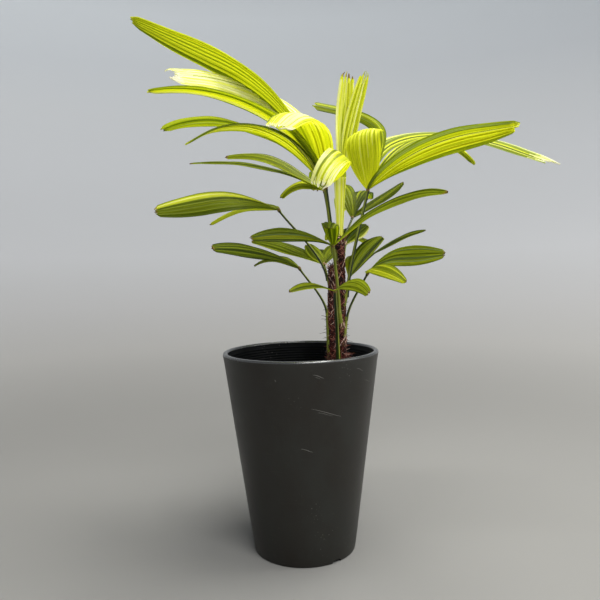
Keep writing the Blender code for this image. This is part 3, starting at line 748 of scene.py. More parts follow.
class Shell:
    """Vertices, faces, material slots and blade coordinates gathered for one piece."""

    def __init__(self):
        self.vertices = []
        self.faces = []
        self.slots = []
        self.uv = []
        self.count = 0

    def add(self, vertices, faces, slots, uv=None):
        vertices = np.asarray(vertices, float)
        self.vertices.append(vertices)
        start = self.count
        self.faces += [tuple(int(v) + start for v in face) for face in faces]
        self.slots += [slots] * len(faces) if isinstance(slots, int) else list(slots)
        self.uv.append(np.zeros((len(vertices), 2)) if uv is None else np.asarray(uv, float))
        self.count += len(vertices)

    def make(self, name, materials, nodes, slot, **more):
        return piece(
            name, np.vstack(self.vertices), self.faces, self.slots, materials, nodes, slot,
            uv=np.vstack(self.uv), **more
        )


def blade_frames(leaf, hub):
    """Fine midrib of a leaflet: shares and points, then the shares, side and upper-face vectors
    of the steps between them."""
    middle = (np.arange(MIDRIB_STEPS) + 0.5) / MIDRIB_STEPS
    bent = np.clip((middle - leaf.bend[0]) / (leaf.bend[1] - leaf.bend[0]), 0, 1)
    rise = np.radians(leaf.rise - leaf.fall * bent)
    bearing = np.radians(leaf.bearing + leaf.veer * bent)
    along = np.stack([np.cos(rise) * np.cos(bearing), np.cos(rise) * np.sin(bearing), np.sin(rise)], -1)
    path = np.vstack([np.zeros(3), np.cumsum(along, 0)]) * (leaf.length * MM / MIDRIB_STEPS)
    across = np.stack([-np.sin(bearing), np.cos(bearing), np.zeros(MIDRIB_STEPS)], -1)
    upper = np.cross(along, across)
    turn = np.radians(leaf.roll * np.minimum(1.0, LEAF_ROOT_TURN_SHARE + middle))[:, None]
    side = across * np.cos(turn) - upper * np.sin(turn)
    top = upper * np.cos(turn) + across * np.sin(turn)
    shares = np.arange(MIDRIB_STEPS + 1) / MIDRIB_STEPS
    return shares, path + np.array(hub), middle, side, top


def interpolate(at, shares, values):
    """Rows of values at given shares."""
    return np.stack([np.interp(at, shares, values[:, k]) for k in range(3)], -1)


def blade_width(leaf, share):
    """Width of a leaflet at shares of its length, as in the solids."""
    width = leaf.width * MM
    opening = np.sin(np.pi / 2 * np.clip(share / LEAF_WIDEST_SHARE, 0, 1)) ** LEAF_OPENING_POWER
    before_widest = LEAF_ROOT_WIDTH + (width - LEAF_ROOT_WIDTH) * opening
    past_widest = np.clip((share - LEAF_WIDEST_SHARE) / (1 - LEAF_WIDEST_SHARE), 0, None)
    narrowing = (1 - leaf.tip) * past_widest ** LEAF_NARROWING_POWER
    corner = LEAF_TIP_CORNER * np.clip(share - LEAF_TIP_START, 0, None) / (1 - LEAF_TIP_START)
    after_widest = width * (1 - narrowing) * (1 - corner)
    return np.where(share < LEAF_WIDEST_SHARE, before_widest, after_widest)


def tip_fingers(columns, stations, fray, rng):
    """Splits a blade's columns into fingers at its tip.

    Returns each finger's first and last column, its length share and the stations at
    which the slits on its two sides begin.
    """
    count = int(np.clip(round(columns / FINGER_COLUMNS[fray > FRAYED_FROM]), *FINGER_COUNTS))
    cuts = [0]
    for k in range(1, count):
        cuts.append(int(round(columns * k / count + rng.uniform(-CUT_SHIFT, CUT_SHIFT))))
    cuts.append(columns)
    first = np.searchsorted(stations, 1 - fray)
    inner = len(stations) - 2
    slits = [int(np.clip(first + rng.integers(*SLIT_SHIFTS), 2, inner)) for _ in range(count - 1)]
    outer_slit = int(np.clip(first + 1, 2, inner))
    slits = [outer_slit, *slits, outer_slit]
    reaches = [1 - fray * rng.uniform(0.0, FINGER_LOSS) for _ in range(count)]
    reaches[int(rng.integers(0, count))] = 1.0
    return list(zip(cuts, cuts[1:], reaches, slits, slits[1:]))


def slit_run(stations, slit):
    """How far each station is along a slit, from 0 where it begins to 1 at the tip."""
    return np.clip((stations - stations[slit]) / (1 - stations[slit]), 0, 1) ** SLIT_POWER


def blade_grid(columns, stations, fray, rng):
    """Vertices of a blade whose tip is split into fingers.

    Returns each vertex's share of the length, its place across the blade and its place
    before the split, and for each cell the vertex numbers of its left and right column.
    """
    places = np.linspace(-1, 1, columns + 1)
    rows = len(stations)
    right_of = np.arange(rows * (columns + 1)).reshape(rows, columns + 1)
    left_of = right_of.copy()
    grid_share = np.zeros((rows, columns + 1))
    grid_place = np.zeros((rows, columns + 1))
    extra_share = []
    extra_place = []
    for first, last, reach, slit_low, slit_high in tip_fingers(columns, stations, fray, rng):
        start = max(slit_low, slit_high)
        begun = stations[start]
        stretched = begun + (stations - begun) * (reach - begun) / (1 - begun + 1e-9)
        share = np.where(np.arange(rows) > start, stretched, stations)
        low_edge, high_edge = places[first], places[last]
        middle = (low_edge + high_edge) / 2
        point = rng.uniform(*FINGER_POINTS)
        low_now = low_edge + (middle - low_edge) * (1 - point) * slit_run(stations, slit_low)
        high_now = high_edge + (middle - high_edge) * (1 - point) * slit_run(stations, slit_high)
        span = (places[first:last + 1] - low_edge) / (high_edge - low_edge)
        finger_place = low_now[:, None] + (high_now - low_now)[:, None] * span[None, :]
        grid_share[:, first:last] = share[:, None]
        grid_place[:, first:last] = finger_place[:, :-1]
        if last == columns:
            grid_share[:, last] = share
            grid_place[:, last] = finger_place[:, -1]
            continue
        for i in range(slit_high + 1, rows):
            left_of[i, last] = right_of.size + len(extra_share)
            extra_share.append(share[i])
            extra_place.append(finger_place[i, -1])
    shares = np.append(grid_share.ravel(), extra_share)
    split_places = np.append(grid_place.ravel(), extra_place)
    return shares, split_places, np.append(np.tile(places, rows), extra_place), left_of, right_of


def blade_surface(leaf, hub, ribs, pleat, share, place, home, rng):
    """Points of a blade's upper and lower face: arched, pleated, with wavy edges."""
    fine, path, middle, side, top = blade_frames(leaf, hub)
    side_at = interpolate(share, middle, side)
    top_at = interpolate(share, middle, top)
    side_at /= np.linalg.norm(side_at, axis=1)[:, None]
    top_at /= np.linalg.norm(top_at, axis=1)[:, None]
    half = blade_width(leaf, share) / 2
    arch = LEAF_ARCH * np.minimum(1.0, 2 * share) * half * place ** 2
    rib = np.cos(2 * np.pi * ribs * (home + 1) / 2)
    fold = pleat * np.minimum(1.0, 4 * share + 0.15) * rib
    wave_turn = rng.uniform(0, 6.28)
    wave = EDGE_WAVE * np.sin(share * leaf.length / EDGE_WAVE_LENGTH + wave_turn) * np.abs(place) ** 3
    surface = interpolate(share, fine, path) + side_at * (half * place)[:, None]
    surface += top_at * (fold + wave - arch)[:, None]
    return surface + top_at * LEAF_THICKNESS / 2, surface - top_at * LEAF_THICKNESS / 2


def border_tones(faces, tones):
    """Edges that only one face has, each with that face's tone."""
    border = {}
    for face, tone in zip(faces, tones):
        for a, b in zip(face, face[1:] + face[:1]):
            if (b, a) in border:
                del border[(b, a)]
            else:
                border[(a, b)] = tone
    return border


def add_blade(shell, leaf, hub, rng, tone_slots, pleat):
    """One leaflet: pleated, striped, torn at its tip into pointed strips."""
    ribs = int(np.clip(round(leaf.width / RIB_SPACING), *RIB_COUNTS))
    columns = ribs * COLUMNS_PER_RIB
    tip_from = 1 - TIP_ROWS_RUN * leaf.fray
    body = np.linspace(0, tip_from, max(BODY_ROWS, int(leaf.length / ROW_SPACING)))
    stations = np.append(body, np.linspace(tip_from, 1, TIP_ROWS + 1)[1:])
    share, place, home, left_of, right_of = blade_grid(columns, stations, leaf.fray, rng)
    upper, lower = blade_surface(leaf, hub, ribs, pleat, share, place, home, rng)
    tone_of = stripe_tones(leaf, columns, stations, rng)
    faces = []
    tones = []
    for i in range(len(stations) - 1):
        for j in range(columns):
            faces.append((right_of[i, j], right_of[i + 1, j], left_of[i + 1, j + 1], left_of[i, j + 1]))
            tones.append(tone_slots[tone_of[i][j]])
    count = len(upper)
    below = [(d + count, c + count, b + count, a + count) for a, b, c, d in faces]
    border = border_tones(faces, tones)
    walls = [(b, a, a + count, b + count) for a, b in border]
    uv = np.stack([home * leaf.width / 2, share * leaf.length], -1)
    uv += rng.uniform(0, TEXTURE_SHIFT, 2)
    shell.add(
        np.vstack([upper, lower]),
        faces + below + walls,
        tones + tones + list(border.values()),
        np.vstack([uv, uv]),
    )


def stripe_tones(leaf, columns, stations, rng):
    """Tone letter of each cell of a blade: lengthwise stripes that begin and end."""
    plan = leaf.stripes or "".join(rng.choice(list(PLAIN_TONES), size=PLAIN_STRIPES))
    level = [plan[int((j + 0.5) / columns * len(plan))] for j in range(columns)]
    shift = rng.choice((-1, 0, 0, 0, 1), size=columns)
    begins = rng.uniform(-0.3, 0.6, columns)
    ends = begins + rng.uniform(0.3, 1.2, columns)
    # A darker line along a rib: painted shade of the pleat.
    for j in range(0, columns, COLUMNS_PER_RIB):
        if rng.uniform() < RIB_SHADE_LINE_ODDS:
            shift[j] = -1
            begins[j] = rng.uniform(-0.2, 0.15)
            ends[j] = rng.uniform(0.7, 1.2)
    torn = rng.uniform(0, 1, columns) < TORN_ODDS[leaf.fray >= FRAYED_FROM]
    torn_from = 1 - TORN_RUN * leaf.fray - rng.uniform(0, TORN_SPREAD, columns) * leaf.fray
    # Painted highlight: past a share of the length the tones step paler, where the blade lies in full
    # light.
    highlight_from = leaf.bleach + rng.uniform(-0.5, 0.5, columns) * PAINTED_HIGHLIGHT_RUN
    highlight_steps = rng.choice((0, 1, 2, 2, 3), size=columns)
    made = []
    for i in range(len(stations) - 1):
        share = (stations[i] + stations[i + 1]) / 2
        line = []
        for j in range(columns):
            letter = level[j]
            lift = shift[j] if begins[j] < share < ends[j] else 0
            if share > highlight_from[j]:
                letter = "i" if letter == "o" else letter
                lift += min(highlight_steps[j], 1 + int((share - highlight_from[j]) / PAINTED_HIGHLIGHT_RUN * 2))
            if letter in TONE_RAMP:
                tone = int(np.clip(TONE_RAMP.index(letter) + lift, 0, len(TONE_RAMP) - 1))
                letter = TONE_RAMP[tone]
            if torn[j] and share > torn_from[j]:
                letter = leaf.ends[1] if share > (1 + torn_from[j]) / 2 else leaf.ends[0]
            line.append(letter)
        made.append(line)
    return made


def bezier(a, b, c, d, share):
    """Points of a cubic curve at shares."""
    rest = 1 - share
    return (
        np.outer(rest ** 3, a) + np.outer(3 * rest ** 2 * share, b)
        + np.outer(3 * rest * share ** 2, c) + np.outer(share ** 3, d)
    )


def tube_frames(points, axis):
    """Side and depth vectors along a path, from a fixed axis."""
    ahead = np.gradient(points, axis=0)
    ahead /= np.linalg.norm(ahead, axis=1)[:, None]
    across = np.cross(ahead, np.asarray(axis, float))
    across /= np.linalg.norm(across, axis=1)[:, None]
    depth = np.cross(across, ahead)
    return across, depth


def add_tube(shell, points, radii, sides, slots, axis=(0, 1, 0), section=None):
    """Closed tube along points, with a section given as factors of the radius by angle.

    slots is one material slot, or a function of the ring and the side.
    """
    points = np.asarray(points, float)
    radii = np.asarray(radii, float)
    across, depth = tube_frames(points, axis)
    turn = 2 * np.pi * np.arange(sides) / sides
    x = np.cos(turn)
    y = np.sin(turn)
    if section is not None:
        x, y = section(turn)
    vertices = (
        points[:, None, :]
        + across[:, None, :] * (radii[:, None] * x[None, :])[:, :, None]
        + depth[:, None, :] * (radii[:, None] * y[None, :])[:, :, None]
    ).reshape(-1, 3)
    rings = len(points)
    if not isinstance(slots, int):
        kinds = [slots(i, k) for i in range(rings - 1) for k in range(sides)]
        slots = kinds + [slots(0, 0), slots(rings - 2, 0)]
    length = np.append(0, np.cumsum(np.linalg.norm(np.diff(points, axis=0), axis=1))) / MM
    uv = np.stack(np.meshgrid(length, turn * TUBE_TEXTURE), -1).transpose(1, 0, 2)[..., ::-1].reshape(-1, 2)
    shell.add(vertices, tube_faces(rings, sides, mirrored=True), slots, uv)


def cane_middle(cane, height):
    share = np.asarray(height, float) / cane.top.z
    return np.outer(1 - share, cane.foot) + np.outer(share, cane.top)


def cane_radius(cane, height):
    above = np.asarray(height, float) - SOIL_TOP
    share = np.minimum(1.0, above / (cane.top.z - SOIL_TOP))
    straight = cane.waist_radius + (cane.top_radius - cane.waist_radius) * share
    flare = (cane.foot_radius - cane.waist_radius) * np.clip(1 - above / CANE_FLARE_HEIGHT, 0, None) ** 2
    return straight + flare


def cane_surface(cane, height, turn, proud):
    """Points on a cane at heights and bearings in radians, a distance off its surface."""
    middle = cane_middle(cane, height)
    reach = cane_radius(cane, height) + proud
    return middle + outward(turn) * reach[:, None]


def add_cane_core(shell, cane):
    """Cane's skin with woven ridges and the edges of old sheaths."""
    turn = 2 * np.pi * np.arange(CANE_SIDES) / CANE_SIDES
    rows = []
    for height in np.linspace(SOIL_TOP + GAP, cane.top.z, CANE_RINGS):
        step = ((height + turn * CANE_SHEATH_SLANT) / CANE_SHEATH_PITCH) % 1.0
        weave = np.sin(turn * WEAVE_STRANDS + height / WEAVE_RISE)
        weave += np.sin(turn * WEAVE_STRANDS - height / WEAVE_FALL + 1.3)
        places = [Vector((math.cos(t) * 3, math.sin(t) * 3, height / MM * 0.5)) for t in turn]
        rough = np.array([noise.noise(place) for place in places])
        proud = WEAVE_RELIEF * weave + SHEATH_EDGE_RELIEF * (1 - step) + LUMP_RELIEF * rough
        proud -= CANE_SKIN_SUNK
        fade = min(1.0, (cane.top.z - height) / CANE_ROUNDED_TOP)
        reach = cane_radius(cane, [height])[0] * (0.72 + 0.28 * fade ** 0.5) + proud
        rows.append(cane_middle(cane, [height])[0] + outward(turn) * reach[:, None])
    shell.add(np.vstack(rows), tube_faces(CANE_RINGS, CANE_SIDES), 0)


def add_fibres(shell, cane, rng):
    """Strands that wind round a cane both ways, and a few that lie loose."""
    low = SOIL_TOP + 1 * MM
    high = cane.top.z - 1 * MM
    share = np.linspace(0, 1, FIBRE_STEPS)
    for _ in range(CANE_FIBRES):
        start = rng.uniform(low, high)
        length = rng.uniform(*FIBRE_LENGTHS) * MM
        swing = rng.choice((-1, 1)) * rng.uniform(*FIBRE_SWINGS)
        height = np.clip(start + length * (share - 0.5), low, high)
        turn = rng.uniform(0, 2 * np.pi) + swing * share
        turn = turn + 0.12 * np.sin(share * rng.uniform(4, 11) + rng.uniform(0, 6))
        lift = rng.uniform(0.1, 0.7) * MM + 0.7 * MM * rng.uniform(0, 1) ** 3 * np.sin(np.pi * share)
        points = cane_surface(cane, height, turn, lift)
        radii = rng.uniform(*FIBRE_RADII) * MM * (1 - 0.75 * np.abs(2 * share - 1) ** 3)
        add_tube(shell, points, radii, 4, int(rng.choice(FIBRE_KINDS, p=FIBRE_ODDS)), FIBRE_AXIS)


def add_hairs(shell, cane, rng, tuft):
    """Loose hairs that stand off a cane between two heights, round a bearing."""
    share = np.linspace(0, 1, HAIR_STEPS)
    for _ in range(tuft.count):
        start = rng.uniform(*tuft.heights) * MM
        bearing = tuft.bearing + rng.uniform(-tuft.spread, tuft.spread)
        length = rng.uniform(*tuft.lengths) * MM
        root = cane_surface(cane, np.array([start]), np.array([bearing]), -0.2 * MM)[0]
        out = np.array((math.cos(bearing), math.sin(bearing), 0.0))
        along = np.array((-math.sin(bearing), math.cos(bearing), 0.0)) * rng.choice((-1, 1))
        angle = rng.uniform(0.4, 3.2) * share
        step = (
            np.outer(np.cos(angle), out * 0.95 + along * 0.35)
            + np.outer(np.sin(angle), along * 0.8)
            + np.outer(rng.uniform(*tuft.lift) * np.cos(angle * 0.9), (0, 0, 1))
        )
        points = root + np.vstack([np.zeros(3), np.cumsum(step[1:], 0)]) * length / HAIR_STEPS
        points[:, 2] = np.maximum(points[:, 2], SOIL_TOP)
        radii = rng.uniform(*HAIR_RADII) * tuft.thick * MM * (1 - 0.6 * share)
        add_tube(shell, points, radii, 3, int(rng.choice(tuft.kinds)), HAIR_AXIS)


def petiole_points(frond, slimness):
    """Points and radii of a petiole from its foot on the cane or the soil to its hub."""
    hub = Vector(frond.hub) * MM
    radius = frond.thickness * MM / 2
    side = Vector((math.cos(math.radians(frond.side)), math.sin(math.radians(frond.side)), 0))
    on_cane = frond.cane is not None
    if on_cane:
        height = frond.height * MM
        clear = float(cane_radius(frond.cane, [height])[0]) + GAP + radius * PETIOLE_CLEARANCE_SHARE
        start = Vector(cane_middle(frond.cane, [height])[0]) + side * clear
    else:
        start = SOIL_PETIOLE_FOOT + Vector((0, 0, SOIL_TOP + 2 * GAP))
    swell = PETIOLE_FOOT_SWELL if on_cane else SOIL_PETIOLE_SWELL
    upright = PETIOLE_UPRIGHT_SHARE if on_cane else SOIL_PETIOLE_UPRIGHT_SHARE
    reach = (hub - start).length
    lean = (hub - start).normalized()
    rising = Vector((0, 0, 1)).lerp(side, PETIOLE_OUTWARD_SHARE).normalized()
    after_start = start + rising * reach * upright
    before_hub = hub - lean * reach * PETIOLE_LEAN_SHARE
    share = np.linspace(0, 1, PETIOLE_RINGS)
    points = bezier(start, after_start, before_hub, hub, share)
    foot = 1 + (swell - 1) * np.clip(1 - 3 * share, 0, None)
    return points, radius * slimness * foot * (1 - PETIOLE_TAPER * share)


def grooved(turn):
    """Section of a leaf stalk: round below, with a shallow groove on its inner side."""
    dent = 0.2 * np.clip(np.cos(turn - np.pi / 2), 0, 1) ** 6
    return np.cos(turn), np.sin(turn) * (0.94 - dent)


def add_petiole(shell, frond, young, pale):
    """Leaf stalk with painted shade on one side, over most of an old stalk, that swells at its end into the
    hub of the leaflets.
    """
    points, radii = petiole_points(frond, PETIOLE_SLIMNESS if young else OLD_PETIOLE_SLIMNESS)
    hub_radius = max(HUB_RADIUS, radii[-1] * HUB_SWELL)
    lean = points[-1] - points[-2]
    lean /= np.linalg.norm(lean)
    shares = np.linspace(HUB_START, HUB_END, HUB_RINGS)
    swell = radii[-1] + (hub_radius - radii[-1]) * np.clip(1 - shares ** 2 / HUB_RUN, 0, 1)
    swell *= np.where(shares > 0, np.sqrt(np.clip(1 - shares ** 2, 0, 1)), 1)
    knob = points[-1] + np.outer(shares, lean) * hub_radius
    keep = np.linalg.norm(points - points[-1], axis=1) > HUB_CLEAR * hub_radius
    kept = int(keep.sum())
    if kept:
        points = np.vstack([points[:kept], knob])
        radii = np.append(radii[:kept], swell)

    def kind(ring, side):
        if ring >= kept + HUB_COLOUR_FROM:
            return STALK_HUB
        # Painted shade: the deep colour on one side of a young stalk and on most of an old one, unless the
        # stalk is listed as pale.
        left = math.cos(2 * math.pi * (side + 0.5) / PETIOLE_SIDES)
        if young:
            return STALK_PAINTED_SHADE if left < -0.1 else STALK_OLIVE
        return STALK_OLIVE if pale or left < -0.4 else STALK_PAINTED_SHADE

    add_tube(shell, points, radii, PETIOLE_SIDES, kind, section=grooved)


def add_sheath(shell, frond):
    """Clasping foot of a leaf stalk, which runs down its cane, olive above and fibre-brown below."""
    if frond.cane is None or not frond.sheath:
        return
    radius = frond.thickness * MM / 2
    top = (frond.height + SHEATH_RISE) * MM
    share = np.linspace(0, 1, SHEATH_RINGS)
    heights = np.maximum(top - share * (frond.sheath + SHEATH_RISE) * MM, SOIL_TOP + GAP)
    start = math.atan2(radius, float(cane_radius(frond.cane, [top])[0]) + radius)
    spread = start + (SHEATH_SPREAD - start) * share ** 1.3
    place = np.linspace(-1, 1, SHEATH_COLUMNS + 1)
    rows = []
    for ring, height in enumerate(heights):
        turn = math.radians(frond.side) + place * spread[ring]
        level = np.full(SHEATH_COLUMNS + 1, height)
        crown = radius * SHEATH_CROWN * (1 - share[ring]) ** 1.6 + SHEATH_RIM * (1 - 0.6 * share[ring])
        outer = crown * np.sqrt(np.clip(1 - place ** 2, 0.0, 1)) + 0.1 * MM
        rows.append(cane_surface(frond.cane, level, turn, outer))
        rows.append(cane_surface(frond.cane, level, turn, -SHEATH_DEPTH)[::-1])
    count = 2 * (SHEATH_COLUMNS + 1)
    kinds = np.where(share[:-1] < SHEATH_OLIVE_SHARE, STALK_OLIVE, STALK_SHEATH)
    slots = [int(kind) for kind in np.repeat(kinds, count)] + [STALK_OLIVE, STALK_SHEATH]
    uv = np.zeros((SHEATH_RINGS * count, 2))
    uv[:, 0] = np.tile(np.linspace(0, 9, count), SHEATH_RINGS)
    uv[:, 1] = np.repeat(heights / MM, count)
    shell.add(np.vstack(rows), tube_faces(SHEATH_RINGS, count), slots, uv)


def add_spear_stalk(shell, tone_slots):
    """Flattened pleated stalk of the folded leaf, striped along its length."""
    low = CANE_TALL.top + Vector((0, 0, GAP))
    share = np.linspace(0, 1, SPEAR_STALK_RINGS)
    points = np.outer(1 - share, low) + np.outer(share, SPEAR_STALK_TOP)
    width = SPEAR_STALK_BASE_WIDTH + (SPEAR_STALK_TOP_WIDTH - SPEAR_STALK_BASE_WIDTH) * share
    squeeze = SPEAR_STALK_DEPTH / SPEAR_STALK_TOP_WIDTH
    stripes = len(SPEAR_STALK_STRIPES)

    def section(turn):
        pleats = 1 + 0.035 * np.cos(turn * 12)
        return np.cos(turn) * pleats, np.sin(turn) * pleats * squeeze

    def kind(ring, side):
        return tone_slots[SPEAR_STALK_STRIPES[int(side / SPEAR_STALK_SIDES * stripes)]]

    add_tube(shell, points, width / 2, SPEAR_STALK_SIDES, kind, section=section)


def wall_radius(height):
    return POT_BASE_RADIUS + (POT_RIM_RADIUS - POT_BASE_RADIUS) * height / POT_HEIGHT


def inner_radius(height):
    thickness = POT_WALL + (POT_LIP_WIDTH - POT_WALL) * height / POT_HEIGHT
    return wall_radius(height) - thickness


def arc(middle, radius, first, last, step=10):
    points = []
    for angle in range(first, last + 1, step):
        turn = math.radians(angle)
        points.append((middle[0] + radius * math.cos(turn), middle[1] + radius * math.sin(turn)))
    return points


def pot_profile():
    """Half section of the pot, from the middle of its underside round to its inner floor."""
    ring_inside = POT_BASE_RADIUS - FOOT_RING_WIDTH
    pad_round = 0.6 * MM
    lip_middle = POT_HEIGHT - POT_LIP_ROUND
    floor_top = POT_RECESS + POT_FLOOR
    foot = (POT_BASE_RADIUS - POT_FOOT_ROUND, POT_FOOT_ROUND)
    profile = [
        (0, 0),
        (FOOT_PAD_RADIUS - pad_round, 0),
        (FOOT_PAD_RADIUS, pad_round),
        (FOOT_PAD_RADIUS, POT_RECESS),
        (ring_inside, POT_RECESS),
        (ring_inside, pad_round),
        (ring_inside + pad_round, 0),
    ]
    for x, z in arc(foot, POT_FOOT_ROUND, -90, 0, 15):
        profile.append((min(x, wall_radius(z)), max(0.0, z)))
    for k in range(1, POT_WALL_STEPS):
        height = POT_FOOT_ROUND + (lip_middle - POT_FOOT_ROUND) * k / POT_WALL_STEPS
        profile.append((wall_radius(height), height))
    profile += arc((POT_RIM_RADIUS - POT_LIP_ROUND, lip_middle), POT_LIP_ROUND, 0, 90)
    profile += arc((inner_radius(POT_HEIGHT) + POT_LIP_ROUND, lip_middle), POT_LIP_ROUND, 90, 180)
    steps = 8
    for k in range(INNER_RIDGES * steps):
        height = POT_HEIGHT - 4 * MM - INNER_RIDGE_PITCH * k / steps
        ridge = INNER_RIDGE * (0.5 - 0.5 * math.cos(2 * math.pi * k / steps))
        profile.append((inner_radius(height) - ridge, height))
    profile.append((inner_radius(floor_top + 2 * MM), floor_top + 2 * MM))
    profile.append((inner_radius(floor_top) - 2 * MM, floor_top))
    profile.append((0, floor_top))
    return profile


def turned(profile, sides):
    """Vertices and faces of a solid of revolution about Z, its ends on the axis."""
    vertices = []
    rows = []
    for radius, height in profile:
        if radius == 0:
            rows.append([len(vertices)] * sides)
            vertices.append((0, 0, height))
            continue
        rows.append([len(vertices) + k for k in range(sides)])
        vertices += [round_point(radius, 2 * math.pi * k / sides, height) for k in range(sides)]
    faces = []
    for low, high in zip(rows, rows[1:]):
        for k in range(sides):
            after = (k + 1) % sides
            faces.append(tuple(dict.fromkeys((low[k], low[after], high[after], high[k]))))
    return vertices, faces


def cutter(rings):
    """Closed prism between two rings of points, to be cut out of the pot."""
    vertices = [tuple(point) for ring in rings for point in ring]
    mesh = bpy.data.meshes.new("cutter")
    mesh.from_pydata(vertices, [], tube_faces(2, len(rings[0])))
    return bpy.data.objects.new("cutter", mesh)


def pot_cutters():
    """Drain holes through the floor and drain notches in the foot ring."""
    made = []
    circle = (FOOT_PAD_RADIUS + POT_BASE_RADIUS - FOOT_RING_WIDTH) / 2
    for k in range(DRAIN_HOLES):
        turn = 2 * math.pi * (k + 0.5) / DRAIN_HOLES
        rings = []
        for height in (-MM, POT_RECESS + POT_FLOOR + MM):
            ring = []
            for n in range(DRAIN_HOLE_SIDES):
                a = 2 * math.pi * n / DRAIN_HOLE_SIDES
                x = circle * math.cos(turn) + DRAIN_HOLE_RADIUS * math.cos(a)
                y = circle * math.sin(turn) + DRAIN_HOLE_RADIUS * math.sin(a)
                ring.append((x, y, height))
            rings.append(ring)
        made.append(cutter(rings))
    for k in range(DRAIN_NOTCHES):
        bearing = math.radians(DRAIN_NOTCH_BEARING + 360 / DRAIN_NOTCHES * k)
        along = Vector((math.cos(bearing), math.sin(bearing), 0))
        across = Vector((-along.y, along.x, 0))
        section = [(-0.5, -MM), (0.5, -MM)]
        for n in range(9):
            a = math.pi * n / 8
            section.append((0.5 * math.cos(a), DRAIN_NOTCH_HEIGHT * (0.35 + 0.65 * math.sin(a))))
        rings = []
        for reach in (POT_BASE_RADIUS - FOOT_RING_WIDTH - MM, POT_BASE_RADIUS + 2 * MM):
            rings.append([
                along * reach + across * x * DRAIN_NOTCH_WIDTH + Vector((0, 0, z)) for x, z in section
            ])
        made.append(cutter(rings))
    return made


def make_pot():
    """Hollow pot with a lip, ridges inside, a foot ring, drain holes and drain notches."""
    vertices, faces = turned(pot_profile(), POT_SIDES)
    finishes = [pot_material(*finish) for finish in POT_FINISHES]
    middles = [np.mean([vertices[v] for v in face], axis=0) for face in faces]
    kinds = []
    for x, y, z in middles:
        within = math.hypot(x, y) < (wall_radius(z) + inner_radius(z)) / 2
        # The lip takes the finish with a painted highlight.
        if z > POT_HEIGHT - POT_LIP_ROUND:
            kinds.append(POT_LIP_HIGHLIGHTED)
        else:
            # The inside takes the finish with painted shade.
            kinds.append(POT_SHADED_INSIDE if within and z > POT_RECESS + POT_FLOOR / 2 else POT_OUTSIDE)
    pot = piece("pot_shell", vertices, faces, kinds, finishes, ["pot"], "pot_plastic")
    tools = bpy.data.collections.new("pot_cutters")
    bpy.context.scene.collection.children.link(tools)
    for obj in pot_cutters():
        tools.objects.link(obj)
    modifier = pot.modifiers.new("cut", "BOOLEAN")
    modifier.operand_type = "COLLECTION"
    modifier.collection = tools
    modifier.operation = "DIFFERENCE"
    modifier.solver = "EXACT"
    bpy.context.view_layer.update()
    mesh = bpy.data.meshes.new_from_object(pot.evaluated_get(bpy.context.evaluated_depsgraph_get()))
    pot.modifiers.clear()
    pot.data = mesh
    mesh.shade_smooth()
    mesh.set_sharp_from_angle(angle=math.radians(POT_SHARP_ANGLE))
    for obj in list(tools.objects):
        bpy.data.objects.remove(obj, do_unlink=True)
    bpy.data.collections.remove(tools)
    make_scratches()


def make_scratches():
    """Thin pale scratches that lie on the pot's wall."""
    shell = Shell()
    share = np.linspace(0, 1, SCRATCH_RINGS)
    for first, low, last, high, width in POT_SCRATCHES:
        turn = np.radians(first + (last - first) * share)
        height = (low + (high - low) * share + 0.25 * np.sin(share * 5)) * MM
        half = width / 2 * MM * np.sin(np.pi * np.clip(share, 0.04, 0.96)) ** 0.5
        rows = []
        for lift, side in ((-0.1, -1), (0.03, -1), (0.03, 1), (-0.1, 1)):
            z = height + half * side
            reach = wall_radius(z) + lift * MM
            rows.append(np.stack([reach * np.cos(turn), reach * np.sin(turn), z], -1))
        shell.add(np.stack(rows, 1).reshape(-1, 3), tube_faces(SCRATCH_RINGS, len(rows)), 0)
    shell.make("pot_scratches", [pot_material(*SCRATCH_FINISH)], ["pot"], "pot_plastic")


def soil_height(x, y):
    """Height of the soil's crumbly surface."""
    reach = math.hypot(x, y)
    wall = inner_radius(SOIL_TOP) - GAP
    drop = SOIL_EDGE_DROP * max(0.0, (reach - SOIL_FLAT_RADIUS) / (wall - SOIL_FLAT_RADIUS))
    place = Vector((x, y, 0)) / MM
    lumps = noise.noise(place * 0.12) * 0.7 + noise.noise(place * 0.35) * 0.5
    lumps += noise.noise(place * 0.9) * 0.35
    return SOIL_TOP - drop - SOIL_RELIEF * 0.8 + SOIL_RELIEF * lumps


def add_soil_plug(shell, edge):
    """Crumbly surface of the soil, its side down the pot's wall, and its underside."""
    vertices = [(0, 0, soil_height(0, 0))]
    turns = [2 * math.pi * k / SOIL_SIDES for k in range(SOIL_SIDES)]
    for i in range(1, SOIL_RINGS + 1):
        for turn in turns:
            x, y, _ = round_point(edge * i / SOIL_RINGS, turn, 0)
            vertices.append((x, y, soil_height(x, y)))
    bottom = POT_RECESS + POT_FLOOR + GAP
    for height, inset in ((bottom + 3 * MM, SOIL_WALL_GAP), (bottom, 3 * MM)):
        vertices += [round_point(inner_radius(height) - inset, turn, height) for turn in turns]
    faces = [(0, 1 + k, 1 + (k + 1) % SOIL_SIDES) for k in range(SOIL_SIDES)]
    for i in range(SOIL_RINGS + 1):
        faces += strip(1 + i * SOIL_SIDES, 1 + (i + 1) * SOIL_SIDES, SOIL_SIDES, mirrored=True)
    faces.append(tuple(reversed(range(len(vertices) - SOIL_SIDES, len(vertices)))))
    shell.add(vertices, faces, 0)


